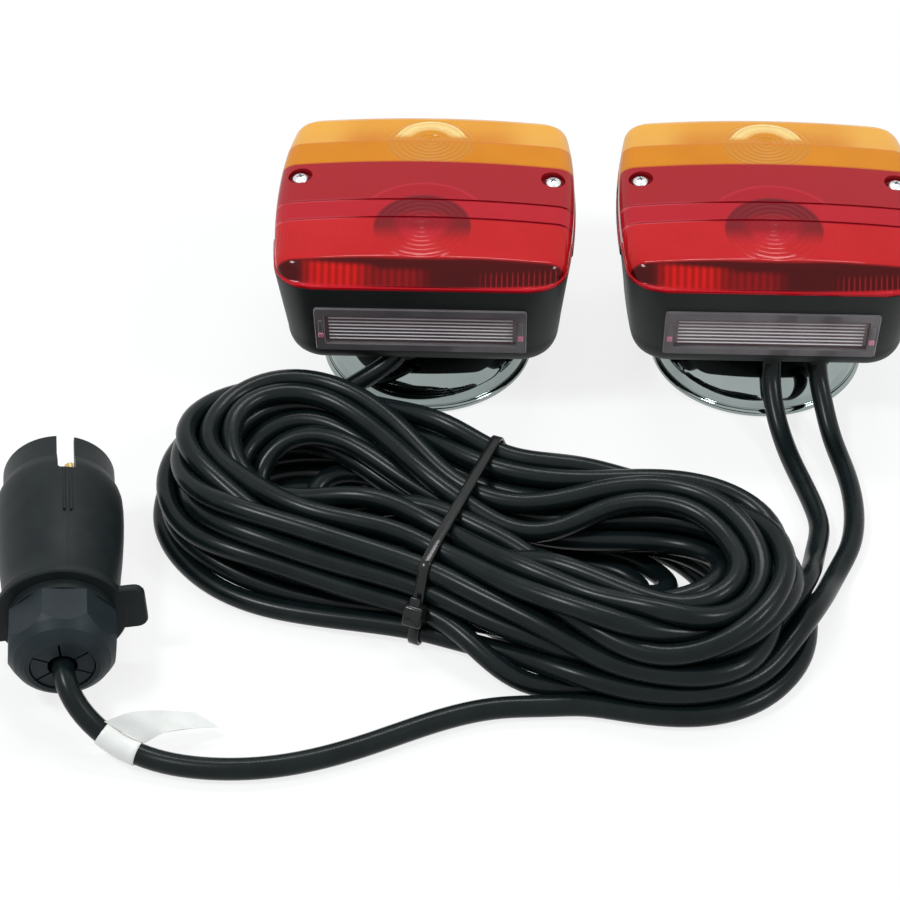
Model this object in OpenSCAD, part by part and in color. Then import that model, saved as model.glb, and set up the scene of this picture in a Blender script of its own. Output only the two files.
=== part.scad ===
// Magnetic towing light set: two rear lamps lying on magnet feet, with a plug, its cable,
// and the spare cable folded into a hank that one cable tie holds.
// X runs to the right, Y away from the plug's end of the set, Z up from the ground.
// The origin lies on the ground midway between the two lamps.

/* [Lamp] */
// Width of the lamp across the lens
lamp_w = 109; // [95:0.5:125]
// Height of the lamp across the lens, along Y
lamp_h = 101; // [90:0.5:115]
// Radius of the lamp's corners in plan
corner_r = 14; // [9:0.5:20]
// How far the lamp's sides bow out between its ends
side_bow = 4.4; // [0:0.2:5]
// Depth of the housing from its rear face to the lens
housing_d = 36; // [30:0.5:46]
// Height of the lens above the housing's rim
lens_d = 11; // [8:0.5:16]
// How much narrower the housing is at its rear edge than at its rim
housing_draft = 7; // [4:0.5:12]
// Wall of the housing
housing_wall = 2.2; // [1.6:0.1:3]
// Wall of the lenses
lens_wall = 2.2; // [1.6:0.1:3]
// Distance of the amber lens's edge from the lamp's centre line
amber_edge = 11.5; // [6:0.5:16]
// Distance between the two lamps' centres
lamp_pitch = 125; // [118:1:200]
// How far the right lamp stands nearer than the left one
lamp_stagger = 5; // [0:0.5:12]
// Turn of each lamp seen from above
lamp_yaw = -3; // [-6:0.5:0]

/* [Lens details] */
// Radius of the round optic inside each lens
optic_r = 17; // [12:0.5:18]
// Number of rings in the round optic
optic_rings = 6; // [3:1:9]
// Distance between the upright flutes inside the near wall
flute_pitch = 2.6; // [2:0.1:4]
// Width of the number plate window
window_w = 76; // [60:1:80]
// Height of the number plate window
window_h = 21.5; // [16:0.5:24]
// Distance of each lens screw from the lens's side
screw_edge = 8; // [7.6:0.2:14]

/* [Magnet foot] */
// Diameter of the magnet's chrome cup at its rim
cup_d = 80; // [70:1:86]
// Height of the chrome cup
cup_h = 17; // [16:0.5:20]
// Diameter of the cup's flat crown
crown_d = 44; // [42:1:52]
// Sheet thickness of the cup
cup_wall = 1.2; // [0.8:0.1:1.6]
// Thickness of the spacer between the cup and the housing
spacer_t = 8; // [7:0.5:12]
// How far the magnet sits nearer than the lamp's middle
magnet_offset = 8; // [0:0.5:10]
// Diameter of the magnet bolt
bolt_d = 6; // [5:0.5:6]

/* [Plug] */
// Length of the plug from its mouth to the gland's end
plug_l = 89; // [84:0.5:100]
// Outer diameter of the plug's mouth
shroud_d = 38; // [36:0.5:40]
// Largest diameter of the plug's body
plug_d = 43; // [41:0.5:46]
// Width of the key slot in the mouth
key_w = 6; // [4.5:0.5:7]
// Length of the key slot
key_l = 14; // [10:0.5:15]
// Diameter of one contact pin
pin_d = 5; // [4:0.1:5.2]
// Distance across the flats of the gland nut
nut_flats = 34; // [32:0.5:36]

/* [Cable] */
// Diameter of the cable
cable_d = 7.2; // [6.5:0.1:7.4]
// Width of the hank of spare cable
hank_w = 90; // [84:1:96]
// Height of the hank of spare cable
hank_h = 31; // [26:1:36]
// Width of the cable tie
tie_w = 3.6; // [2.5:0.1:5]
// Thickness of the cable tie
tie_t = 1.2; // [1:0.1:1.6]

/* [Fit] */
// Play between pieces that slip into one another
slip = 0.2; // [0.1:0.05:0.3]

/* [Hidden] */

$fn = 48;
hull_fn = 32;
strand_fn = 14;
corner_steps = 8;
bow_steps = 4;
eps = 0.01;

// Heights of the lamp, from the ground up
rear_z = cup_h + spacer_t;
floor_z = rear_z + housing_wall;
rim_z = rear_z + housing_d;
lens_top_z = rim_z + lens_d;
side_rim_z = rim_z - 4;
side_rim_y = -24;
housing_lip = 0.6;

// Rounded foot of the housing: heights above its rear face, and how much narrower it is there
foot_steps = [[8, 0], [4, 1.4], [1.3, 4.4], [0, 7.6]];

// Gasket in the lens joint
gasket_t = 1;
gasket_w = 1.2;

// Lens form: each station is a place along Y, as a share of the lamp's height, and the face's drop there
lens_stations = [
    [-0.5, 9], [-0.43, 2], [-0.215, 0.5], [-0.115, 0.1],
    [0.115, 0], [0.25, 0.6], [0.43, 3.4], [0.495, 9]
];
lens_arch = 2.4;
lens_shoulder = 6;
lens_lines = [-0.114, -0.214];
line_w = 0.7;
line_t = 0.4;
arch_steps = 8;

// Screws and their pockets
screw_pitch = lamp_w - 2 * screw_edge;
screw_y = 4.5;
screw_d = 3.5;
screw_head_d = 6.4;
screw_head_h = 2;
pocket_d = 9;
pocket_z = lens_top_z - 5.2;
boss_d = 7.6;

// Number plate window in the near wall
near_wall_tilt = atan(housing_draft / 2 / (housing_d - foot_steps[0][0]));
window_z = rear_z + 16.5;
window_flange = 1.9;
window_proud = 0.8;
window_recess = 0.8;
window_ribs = 7;

// Inside of the lamp
carrier_z = floor_z + 5;
carrier_t = 2;
carrier_edge = 8;
indicator_edge = 23.5;
bulb_z = rear_z + 25;
bulb_r = lamp_h * 0.124;
bulb_reach = lamp_h * 0.168;
bulb_neck_r = 7.2;
cap_r = 7.5;
cap_l = 18;
socket_wall = 0.8;
optic_y = 0.26;

// Cable entries in the lamp's rear face, as places across the lamp
entry_edge = 11.5;
entry_y = entry_edge - lamp_h / 2;
entries_left = [-6];
entries_right = [2.5, 19];
grommet_d = 9.6;
grommet_neck_d = 8.6;
grommet_drop = 2;
grommet_flange_t = 1.4;
grommet_flare = 0.6;

// Magnet foot
pad_t = 1.4;
plate_t = 3;
magnet_r = crown_d / 2 - 2.4;
magnet_bore = bolt_d + 2;
rim_roll = 1.5;
dome_steps = 10;
washer_t = 1.2;
nut_af = 10;
nut_h = 5;

// Plug, measured from its mouth backwards
shroud_wall = 2.4;
shoulder_z = 10;
insert_z = 16;
insert_t = 15;
pin_ring_r = 10;
pin_front_z = 5;
pin_back_z = insert_z + insert_t + 3;
collar_z = 64;
collar_t = 3;
ear_reach = 27.5;
ear_h = 18;
neck_d = 35;
nut_z = 70.5;
stem_d = 27;
stem_end = 80;
gland_bore = 20.6;
seal_z = 66;
collet_hole = 9.6;
collet_slits = 6;
slit_w = 0.7;
key_angle = 14;
rib_gap = 2;
rib_w = 0.9;
plug_yaw = 7.6;
plug_at = [-191, -98, plug_d / 2];

// Hank: the two centres of its round ends, and where the tie goes round it
hank_left = [-112, -95];
hank_right = [17.5, -149.5];
hank_rows = 4;
hank_batter = 3;
hank_rise = (hank_h - cable_d) / (hank_rows - 1);
hank_top_columns = 3;
hank_foot = hank_w / 2 - cable_d / 2;
hank_crown = hank_foot - hank_batter * (hank_rows - 1);
hollow_r = hank_crown - (hank_top_columns - 0.5) * cable_d;
middle_from = 27;
middle_to = 108;
middle_rows = 3;
tie_round = 6;
tie_lean = atan2(hank_foot - hank_crown, hank_h - 2 * tie_round);
tie_head_z = 14;
hank_angle = atan2(hank_right[1] - hank_left[1], hank_right[0] - hank_left[0]);
hank_span = norm(hank_right - hank_left);
tie_along = 66;
tie_gap = 0.3;
tie_head = [7, 5.4, 7.5];

// A place in one lamp's own frame, and one on the plug's axis behind its mouth, given in the part's frame
function lamp_point(side, x, y, z) = [
    side * lamp_pitch / 2 + x * cos(lamp_yaw) - y * sin(lamp_yaw),
    -side * lamp_stagger / 2 + x * sin(lamp_yaw) + y * cos(lamp_yaw),
    z
];
function plug_point(back) = plug_at + back * [sin(plug_yaw), -cos(plug_yaw), 0];

// How the cable leaves a lamp: down out of its bush, then forwards to the ground
lie = cable_d / 2 + 0.1;
function leaving(side, x, lean) = [
    for (p = [[0, 0, 1.5], [0, 0, -1.2], [0.02, -0.9, -4.5], [0.1, -3.1, -7.5], [0.35, -7, -10.3]])
        lamp_point(side, x + p[0] * lean, entry_y + p[1], rear_z + p[2])
];

// Routes of the cable's free stretches, from one end to the other
plug_lead_route = concat(
    [plug_point(68), plug_point(78), plug_point(plug_l)],
    [
        [-178, -191.6, 20.3], [-175.8, -195.8, 17.5], [-171.5, -200, 13.2], [-166.5, -203, 9.3],
        [-160, -206.3, 6], [-152, -209.3, 4.1], [-142, -212.2, lie], [-130, -213.8, lie],
        [-118, -213.8, lie], [-106, -212.2, lie], [-94, -209, lie], [-82, -204.6, lie],
        [-70, -199.4, lie], [-58, -194.6, lie], [-46, -191.2, lie], [-34, -189.8, lie],
        [-22, -190, lie], [-10, -190.8, lie], [2, -191, 4], [14, -189, 4.5]
    ]);
right_main_route = concat(
    leaving(1, entries_right[0], 1),
    [
        [63, -55.5, 10.4], [65, -62, 6.2], [66.2, -70, 4.2], [68, -79, lie], [70.2, -89, lie],
        [72.3, -99, lie], [73.6, -109, lie], [73.4, -119, lie], [71, -128, lie],
        [66, -136.4, 4], [59.8, -143.8, 4.8], [53, -150.8, 5.6]
    ]);
right_link_route = concat(
    leaving(1, entries_right[1], 4),
    [
        [81.6, -56.5, 10.4], [82.8, -63, 6.2], [84.2, -71, 4.2], [85.8, -80, lie], [86.8, -90, lie],
        [86.8, -100, lie], [85.6, -110, lie], [83, -120, lie], [79, -129.5, lie], [74, -138.5, lie],
        [68, -147, lie], [61.5, -155.5, 4], [54, -163.5, 4.2]
    ]);
left_link_route = concat(
    leaving(-1, entries_left[0], -2),
    [[-74.5, -49, 11.2], [-79.5, -53.8, 8.6], [-87, -56, 6.8], [-95, -56, 5.6], [-102, -57.5, 5]]
);
tube_sides = 10;

// Label folded round the plug's cable: each station is the near and the far end of one fold
label_t = 0.4;
label_first = 6;
label_last = 8;
label_stations = [
    [[-166, -202.2, 13], [-154.5, -207.6, 8.2]],
    [[-157, -200, 15.4], [-149, -204.4, 9.4]],
    [[-146.5, -197.5, 13.8], [-139, -200.6, 6.6]],
    [[-137, -196, 10], [-131, -196.6, 3.2]]
];

function direction(a) = [cos(a), sin(a)];

// Plan forms
module rounded_rect(w, h, r) {
    square([w - 2 * r, h], center = true);
    square([w, h - 2 * r], center = true);
    for (sx = [-1, 1], sy = [-1, 1])
        translate([sx * (w / 2 - r), sy * (h / 2 - r)])
            circle(r);
}

// Lamp seen from above: round corners, and sides that bow out
module lamp_outline(w, h, r) {
    bow = side_bow * pow(h / lamp_h, 2);
    lean = atan(2 * bow * (h - 2 * r) / h / (h / 2));
    side_y = h / 2 - r + r * sin(lean);
    side = [
        for (i = [-bow_steps : bow_steps])
            let (y = side_y * i / bow_steps)
            [w / 2 - bow * pow(2 * y / h, 2), y]
    ];
    centre = [side[2 * bow_steps][0] - r * cos(lean), h / 2 - r];
    corner = [for (i = [1 : corner_steps]) centre + r * direction(lean + (90 - lean) * i / corner_steps)];
    right = concat(
        [for (i = [corner_steps - 1 : -1 : 0]) [corner[i][0], -corner[i][1]]],
        side,
        corner
    );
    polygon(concat(right, [for (i = [len(right) - 1 : -1 : 0]) [-right[i][0], right[i][1]]]));
}

module slab(w, h, r, z, t = eps) {
    translate([0, 0, z])
        linear_extrude(t)
            lamp_outline(w, h, r);
}

// Places children in one lamp's own frame: its centre on the ground, Y away
module at_lamp(side) {
    translate([side * lamp_pitch / 2, -side * lamp_stagger / 2, 0])
        rotate([0, 0, lamp_yaw])
            children();
}

module at_magnet(side) {
    at_lamp(side)
        translate([0, -magnet_offset, 0])
            children();
}

// Solid form of the housing, drawn in by an inset
module housing_form(inset, bottom, top) {
    w = lamp_w + 2 * housing_lip - 2 * inset;
    h = lamp_h + 2 * housing_lip - 2 * inset;
    d = housing_draft;
    r = corner_r - inset;
    hull() {
        slab(w, h, r, top - eps);
        for (s = foot_steps)
            slab(w - d - s[1], h - d - s[1], r - s[1] / 2, bottom + s[0]);
    }
}

// Places children on the slanting near wall, Z outwards and Y up the wall
module on_near_wall() {
    translate([0, -(lamp_h + 2 * housing_lip - housing_draft) / 2, rear_z + foot_steps[0][0]])
        rotate([90 - near_wall_tilt, 0, 0])
            children();
}

window_up = (window_z - rear_z - foot_steps[0][0]) / cos(near_wall_tilt);

module housing(side) {
    entries = side < 0 ? entries_left : entries_right;
    color([0.12, 0.14, 0.14])
        at_lamp(side)
            difference() {
                housing_form(0, rear_z, rim_z);
                difference() {
                    housing_form(housing_wall, floor_z, rim_z + eps);
                    screw_bosses();
                    carrier_posts();
                }
                side_rim_cut();
                screw_pilots();
                window_cut();
                entry_holes(entries);
                translate([0, -magnet_offset, rear_z - 1])
                    cylinder(h = housing_wall + 2, d = bolt_d + 2 * slip);
            }
}

module screw_bosses() {
    for (sx = [-1, 1])
        translate([sx * screw_pitch / 2, screw_y, floor_z - 1])
            cylinder(h = side_rim_z - floor_z + 1, d = boss_d);
}

module screw_pilots() {
    for (sx = [-1, 1])
        translate([sx * screw_pitch / 2, screw_y, floor_z + 6])
            cylinder(h = rim_z, d = screw_d + 2 * slip);
}

module carrier_posts() {
    for (sx = [-1, 1], sy = [-1, 1])
        translate([sx * 34, sy * 30, floor_z - 1])
            cylinder(h = carrier_z - floor_z + 1, d = 6);
}

// Away from the near wall the rim is lower, and the lens's skirt covers the step
module side_rim_cut() {
    translate([-lamp_w, side_rim_y, side_rim_z])
        cube([2 * lamp_w, lamp_h, housing_d]);
}

module window_cut() {
    on_near_wall() {
        translate([0, window_up, -6])
            linear_extrude(12)
                rounded_rect(window_w - 2 * window_flange, window_h - 2 * window_flange, 1);
        translate([0, window_up, -window_recess])
            linear_extrude(6)
                rounded_rect(window_w + 2 * slip, window_h + 2 * slip, 1.2);
    }
}

module entry_holes(entries) {
    for (x = entries)
        translate([x, entry_y, rear_z - 1]) {
            cylinder(h = housing_wall + 2, d = grommet_neck_d);
            translate([0, 0, housing_wall + 1])
                cylinder(h = grommet_flange_t + slip, d = grommet_d + slip);
        }
}

module plate_window(side) {
    rib_w = window_w - 22;
    rib_pitch = (window_h - 2 * window_flange - 3) / window_ribs;
    color([0.8, 0.72, 0.72, 0.6])
        at_lamp(side)
            on_near_wall()
                translate([0, window_up, 0]) {
                    translate([0, 0, -window_recess])
                        linear_extrude(window_recess + window_proud)
                            difference() {
                                rounded_rect(window_w, window_h, 1.2);
                                rounded_rect(window_w - 4, window_h - 4, 1);
                            }
                    translate([0, 0, -window_recess])
                        linear_extrude(window_recess + window_proud / 2)
                            rounded_rect(window_w - 2, window_h - 2, 1);
                    translate([0, 0, -housing_wall])
                        linear_extrude(housing_wall - window_recess / 2)
                            rounded_rect(window_w - 2 * window_flange - 2 * slip,
                                         window_h - 2 * window_flange - 2 * slip, 1);
                    for (i = [0 : window_ribs - 1])
                        translate([-rib_w / 2, (i - (window_ribs - 1) / 2) * rib_pitch, window_proud / 2 - eps])
                            rotate([90, 0, 90])
                                linear_extrude(rib_w)
                                    polygon([[-rib_pitch * 0.32, 0], [rib_pitch * 0.32, 0], [0, 0.5]]);
                    for (sx = [-1, 1])
                        translate([sx * (window_w / 2 - 6), 0, -housing_wall - 1.6])
                            linear_extrude(1.7)
                                square([2.4, 9], center = true);
                }
}

// Width of the lens's face falls away towards its sides along this arch
function arch_x(u, w) = u * (w / 2 - lens_shoulder);
function arch_z(u) = -lens_arch * u * u;

module lens_slice(w, y, z) {
    flat = [for (i = [-arch_steps : arch_steps]) let (u = i / arch_steps) [arch_x(u, w), z + arch_z(u)]];
    fall = min(lens_shoulder * 0.72, z - lens_arch - side_rim_z - 0.5);
    side_z = z - lens_arch;
    translate([0, y + eps / 2, 0])
        rotate([90, 0, 0])
            linear_extrude(eps)
                polygon(concat(
                    [[-w / 2, side_rim_z], [-w / 2, side_z - fall],
                     [-w / 2 + lens_shoulder * 0.3, side_z - fall * 0.4]],
                    flat,
                    [[w / 2 - lens_shoulder * 0.3, side_z - fall * 0.4],
                     [w / 2, side_z - fall], [w / 2, side_rim_z]]));
}

// Domed solid form of the whole lens, drawn in by an inset
module lens_form(inset) {
    intersection() {
        hull()
            for (s = lens_stations)
                lens_slice(lamp_w - 2 * inset - 2 * side_bow * pow(2 * s[0], 2),
                           s[0] * (lamp_h - 2 * inset),
                           max(lens_top_z - s[1] - inset, side_rim_z + lens_arch + 1));
        translate([0, 0, side_rim_z - eps])
            linear_extrude(lens_top_z)
                lamp_outline(lamp_w - 2 * inset, lamp_h - 2 * inset, corner_r - inset);
    }
}

// The near part of the lens ends at the housing's rim, the rest goes down over the step
module near_rim_cut() {
    translate([-lamp_w, side_rim_y - lamp_h, side_rim_z - 1])
        cube([2 * lamp_w, lamp_h, rim_z - side_rim_z + 1]);
}

module lens_shell() {
    difference() {
        lens_form(0);
        lens_form(lens_wall);
        translate([0, 0, side_rim_z - lamp_w + 2 * eps])
            cube([2 * lamp_w, 2 * lamp_w, 2 * lamp_w - 2 * eps], center = true);
        near_rim_cut();
        gasket_form(gasket_w + slip / 2);
    }
}

module beyond(y) {
    translate([-lamp_w, y, 0])
        cube([2 * lamp_w, lamp_h, 2 * lens_top_z]);
}

// Rings on the inside of the face, cut as steps with a slope on one side
module round_optic(y) {
    step = optic_r / optic_rings;
    root = lens_top_z - lens_wall - lens_arch;
    intersection() {
        lens_form(1);
        translate([0, y, 0])
            rotate_extrude()
                for (i = [0 : optic_rings - 1])
                    polygon([[i * step, lens_top_z], [i * step, root], [(i + 1) * step, root + 1.4],
                             [(i + 1) * step, lens_top_z]]);
    }
}

// Upright flutes inside the sloping near wall
module wall_flutes() {
    count = floor((lamp_w - 2 * corner_r) / flute_pitch);
    start = -count * flute_pitch / 2;
    crest = [
        for (i = [0 : count - 1])
            each [[start + i * flute_pitch, 0], [start + (i + 0.5) * flute_pitch, 1]]
    ];
    intersection() {
        lens_form(1);
        translate([0, -lamp_h / 2 + lens_wall + 0.4, rim_z + 1])
            rotate([-40, 0, 0])
                linear_extrude(lens_d - 2)
                    polygon(concat([[start, -2]], crest, [[-start, 0], [-start, -2]]));
    }
}

module screw_pockets() {
    for (sx = [-1, 1])
        translate([sx * screw_pitch / 2, screw_y, 0]) {
            translate([0, 0, pocket_z])
                cylinder(h = lens_top_z, d = pocket_d);
            translate([0, 0, rear_z])
                cylinder(h = lens_top_z, d = screw_d + 2 * slip);
        }
}

module screw_seats() {
    intersection() {
        lens_form(0);
        for (sx = [-1, 1])
            translate([sx * screw_pitch / 2, screw_y, side_rim_z])
                cylinder(h = lens_top_z, d = pocket_d + 2.4);
    }
}

module red_lens(side) {
    color([0.78, 0.05, 0.07, 0.75])
        at_lamp(side)
            difference() {
                union() {
                    lens_shell();
                    screw_seats();
                    wall_flutes();
                    round_optic(-lamp_h * optic_y);
                }
                screw_pockets();
                lens_line_cuts();
                beyond(amber_edge);
            }
}

// Two fine lines across the red face
module lens_line_cuts() {
    difference() {
        for (y = lens_lines)
            translate([-lamp_w / 2 + 1, y * lamp_h - line_w / 2, lens_top_z - lens_arch - lens_shoulder])
                cube([lamp_w - 2, line_w, lens_arch + 2 * lens_shoulder]);
        lens_form(line_t);
    }
}

module amber_lens(side) {
    color([0.95, 0.55, 0.08, 0.75])
        at_lamp(side)
            intersection() {
                union() {
                    lens_shell();
                    round_optic(lamp_h * optic_y);
                }
                beyond(amber_edge);
            }
}

// Rubber cord in a groove under the lens's edge, stepping with the housing's rim
module gasket_form(w) {
    middle = lens_wall;
    intersection() {
        linear_extrude(lens_top_z)
            difference() {
                lamp_outline(lamp_w - middle + w, lamp_h - middle + w, corner_r - (middle - w) / 2);
                lamp_outline(lamp_w - middle - w, lamp_h - middle - w, corner_r - (middle + w) / 2);
            }
        union() {
            translate([-lamp_w, side_rim_y, side_rim_z])
                cube([2 * lamp_w, lamp_h, gasket_t]);
            translate([-lamp_w, side_rim_y, side_rim_z])
                cube([2 * lamp_w, gasket_t, rim_z - side_rim_z + gasket_t]);
            translate([-lamp_w, side_rim_y - lamp_h + gasket_t, rim_z])
                cube([2 * lamp_w, lamp_h, gasket_t]);
        }
    }
}

module lens_gasket(side) {
    color([0.2, 0.2, 0.2])
        at_lamp(side)
            gasket_form(gasket_w);
}

module lens_screws(side) {
    color([0.8, 0.8, 0.82])
        at_lamp(side)
            for (sx = [-1, 1])
                translate([sx * screw_pitch / 2, screw_y, 0])
                    difference() {
                        union() {
                            translate([0, 0, floor_z + 7])
                                cylinder(h = pocket_z - floor_z - 7 + eps, d = screw_d);
                            translate([0, 0, pocket_z])
                                cylinder(h = screw_head_h * 0.5, d = screw_head_d);
                            translate([0, 0, pocket_z + screw_head_h * 0.5])
                                cylinder(h = screw_head_h * 0.5, d1 = screw_head_d, d2 = screw_head_d * 0.6);
                        }
                        translate([0, 0, pocket_z + screw_head_h])
                            for (a = [45, 135])
                                rotate([0, 0, a])
                                    cube([3.2, 0.8, 2.4], center = true);
                    }
}

// Plate that carries both bulbs, with the wall that parts amber light from red
module bulb_carrier(side) {
    inner_w = lamp_w - 2 * housing_wall - housing_draft - 2;
    inner_h = lamp_h - 2 * housing_wall - housing_draft - 2;
    wall_top = lens_top_z - lens_wall - lens_arch - 2.4;
    color([0.9, 0.9, 0.88])
        at_lamp(side)
            difference() {
                union() {
                    translate([0, 0, carrier_z])
                        linear_extrude(carrier_t)
                            lamp_outline(inner_w, inner_h, corner_r - 4);
                    translate([-inner_w / 2 + 1, amber_edge - 0.8, carrier_z])
                        cube([inner_w - 2, 1.6, wall_top - carrier_z]);
                }
                for (sx = [-1, 1])
                    translate([sx * screw_pitch / 2, screw_y, 0])
                        cylinder(h = lens_top_z, d = pocket_d + 4);
                translate([0, -magnet_offset, 0])
                    cylinder(h = carrier_z + 10, d = 16);
                translate([-inner_w / 2 + carrier_edge, entry_y - entry_edge, carrier_z - 1])
                    cube([inner_w - 2 * carrier_edge, entry_edge, carrier_t + 2]);
            }
}

// Frame of a bulb: its axis along Z from the cap's foot to the glass's tip
module at_bulb(side, which) {
    place = which == "stop" ? [0, 5.5, bulb_z] : [lamp_w / 2 - indicator_edge, lamp_h * optic_y + 3, bulb_z];
    turn = which == "stop" ? [90, 0, 0] : [0, -90, 0];
    at_lamp(side)
        translate(place)
            rotate(turn)
                children();
}

module bulb_glass(side, which) {
    color([0.9, 0.9, 0.9, 0.5])
        at_bulb(side, which)
            rotate_extrude()
                intersection() {
                    union() {
                        translate([0, cap_l + bulb_reach])
                            circle(bulb_r);
                        polygon([[0, cap_l], [bulb_neck_r, cap_l], [bulb_neck_r, cap_l + 3],
                                 [bulb_r - 1.4, cap_l + bulb_reach - 6], [0, cap_l + bulb_reach]]);
                    }
                    square([bulb_r + 1, cap_l + 40]);
                }
}

module bulb_cap(side, which) {
    color([0.8, 0.68, 0.35])
        at_bulb(side, which)
            union() {
                cylinder(h = cap_l, r = cap_r);
                translate([0, 0, -1.2])
                    cylinder(h = 1.3, r = 2.2);
                for (s = [-1, 1])
                    translate([0, 0, 9])
                        rotate([0, 90 * s, 0])
                            cylinder(h = cap_r + 1, r = 0.9);
            }
}

// Steel cup that the bulb's cap turns into, with a leg down to the carrier
module bulb_socket(side, which) {
    wide = cap_r + slip + socket_wall;
    drop = bulb_z - carrier_z - carrier_t;
    leg_w = 9;
    color([0.75, 0.76, 0.78])
        at_bulb(side, which)
            difference() {
                union() {
                    translate([0, 0, -2.2])
                        cylinder(h = 13, r = wide);
                    if (which == "stop")
                        translate([-leg_w / 2, -drop, -2.2])
                            cube([leg_w, drop, 1.6]);
                    else
                        translate([-drop, -leg_w / 2, -2.2])
                            cube([drop, leg_w, 1.6]);
                }
                translate([0, 0, -1.2])
                    cylinder(h = 20, r = cap_r + slip);
                for (s = [-1, 1])
                    translate([0, 0, 12])
                        cube([2 * wide + 2, 2.4, 8], center = true);
            }
}

module terminal_block(side) {
    color([0.88, 0.86, 0.8])
        at_lamp(side)
            translate([-32, -18, carrier_z + carrier_t])
                difference() {
                    cube([12, 26, 7]);
                    for (i = [0 : 3])
                        translate([6, 4 + 6 * i, 2]) {
                            cylinder(h = 8, d = 3.4);
                            translate([-8, 0, 1.5])
                                rotate([0, 90, 0])
                                    cylinder(h = 16, d = 2.4);
                        }
                }
}

// Rubber bush in the rear face: a flange outside and one inside, a neck through the wall, a flared mouth
module cable_grommets(side) {
    entries = side < 0 ? entries_left : entries_right;
    color([0.1, 0.1, 0.1])
        at_lamp(side)
            for (x = entries)
                translate([x, entry_y, rear_z])
                    difference() {
                        union() {
                            translate([0, 0, -grommet_drop])
                                cylinder(h = grommet_drop, d = grommet_d);
                            cylinder(h = housing_wall, d = grommet_neck_d);
                            translate([0, 0, housing_wall])
                                cylinder(h = grommet_flange_t, d = grommet_d);
                        }
                        translate([0, 0, -grommet_drop - 1])
                            cylinder(h = housing_wall + 8, d = cable_d + slip);
                        translate([0, 0, -grommet_drop - eps])
                            cylinder(h = grommet_drop, d1 = cable_d + slip + 2 * grommet_flare,
                                     d2 = cable_d + slip);
                    }
}

// Outline of the cup from its crown down to the rim, in radius and height
function dome(a, offset) =
    [crown_d / 2 + (cup_d / 2 - rim_roll - crown_d / 2 - offset) * sin(a),
     rim_roll * 2 + (cup_h - rim_roll * 2 - offset) * cos(a)];

module magnet_cup(side) {
    outside = [for (i = [0 : dome_steps]) dome(90 * i / dome_steps, 0)];
    bead = [for (a = [75 : -30 : -195])
        [cup_d / 2 - rim_roll + rim_roll * cos(a), rim_roll + 0.2 + rim_roll * sin(a)]];
    inside = [for (i = [dome_steps : -1 : 0]) dome(90 * i / dome_steps, cup_wall)];
    hole = bolt_d / 2 + slip;
    color([0.82, 0.84, 0.86])
        at_magnet(side)
            rotate_extrude($fn = 96)
                polygon(concat([[hole, cup_h]], outside, bead, inside, [[hole, cup_h - cup_wall]]));
}

module magnet_pad(side) {
    color([0.12, 0.12, 0.12])
        at_magnet(side)
            cylinder(h = pad_t, r = cup_d / 2 - 2 * rim_roll - 0.4);
}

module pole_plate(side) {
    color([0.6, 0.62, 0.65])
        at_magnet(side)
            translate([0, 0, pad_t])
                difference() {
                    cylinder(h = plate_t, r = magnet_r + 8);
                    translate([0, 0, -eps])
                        cylinder(h = plate_t + 2 * eps, d1 = 2 * bolt_d + 2 * slip, d2 = bolt_d + 2 * slip);
                }
}

module ring_magnet(side) {
    color([0.25, 0.25, 0.27])
        at_magnet(side)
            translate([0, 0, pad_t + plate_t])
                difference() {
                    cylinder(h = cup_h - cup_wall - pad_t - plate_t, r = magnet_r);
                    translate([0, 0, -1])
                        cylinder(h = cup_h, d = magnet_bore);
                }
}

module magnet_bolt(side) {
    top = floor_z + washer_t + nut_h + 2;
    color([0.78, 0.79, 0.8])
        at_magnet(side)
            union() {
                translate([0, 0, pad_t])
                    cylinder(h = plate_t, d1 = 2 * bolt_d, d2 = bolt_d);
                translate([0, 0, pad_t + plate_t])
                    cylinder(h = top - pad_t - plate_t, d = bolt_d);
            }
}

module magnet_spacer(side) {
    color([0.15, 0.15, 0.15])
        at_magnet(side)
            translate([0, 0, cup_h])
                difference() {
                    cylinder(h = spacer_t, d = 28);
                    translate([0, 0, -1])
                        cylinder(h = spacer_t + 2, d = bolt_d + 2 * slip);
                }
}

// Nut with its own washer face, inside the housing
module magnet_nut(side) {
    color([0.78, 0.79, 0.8])
        at_magnet(side)
            translate([0, 0, floor_z])
                difference() {
                    union() {
                        cylinder(h = washer_t, d = 14);
                        translate([0, 0, washer_t])
                            cylinder(h = nut_h, d = nut_af / cos(30), $fn = 6);
                    }
                    translate([0, 0, -1])
                        cylinder(h = nut_h + washer_t + 2, d = bolt_d + slip / 2);
                }
}

// Places children in the plug's frame: its mouth at Z = 0, Z backwards, Y up
module at_plug() {
    translate(plug_at)
        rotate([0, 0, plug_yaw])
            rotate([90, 0, 0])
                children();
}

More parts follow.
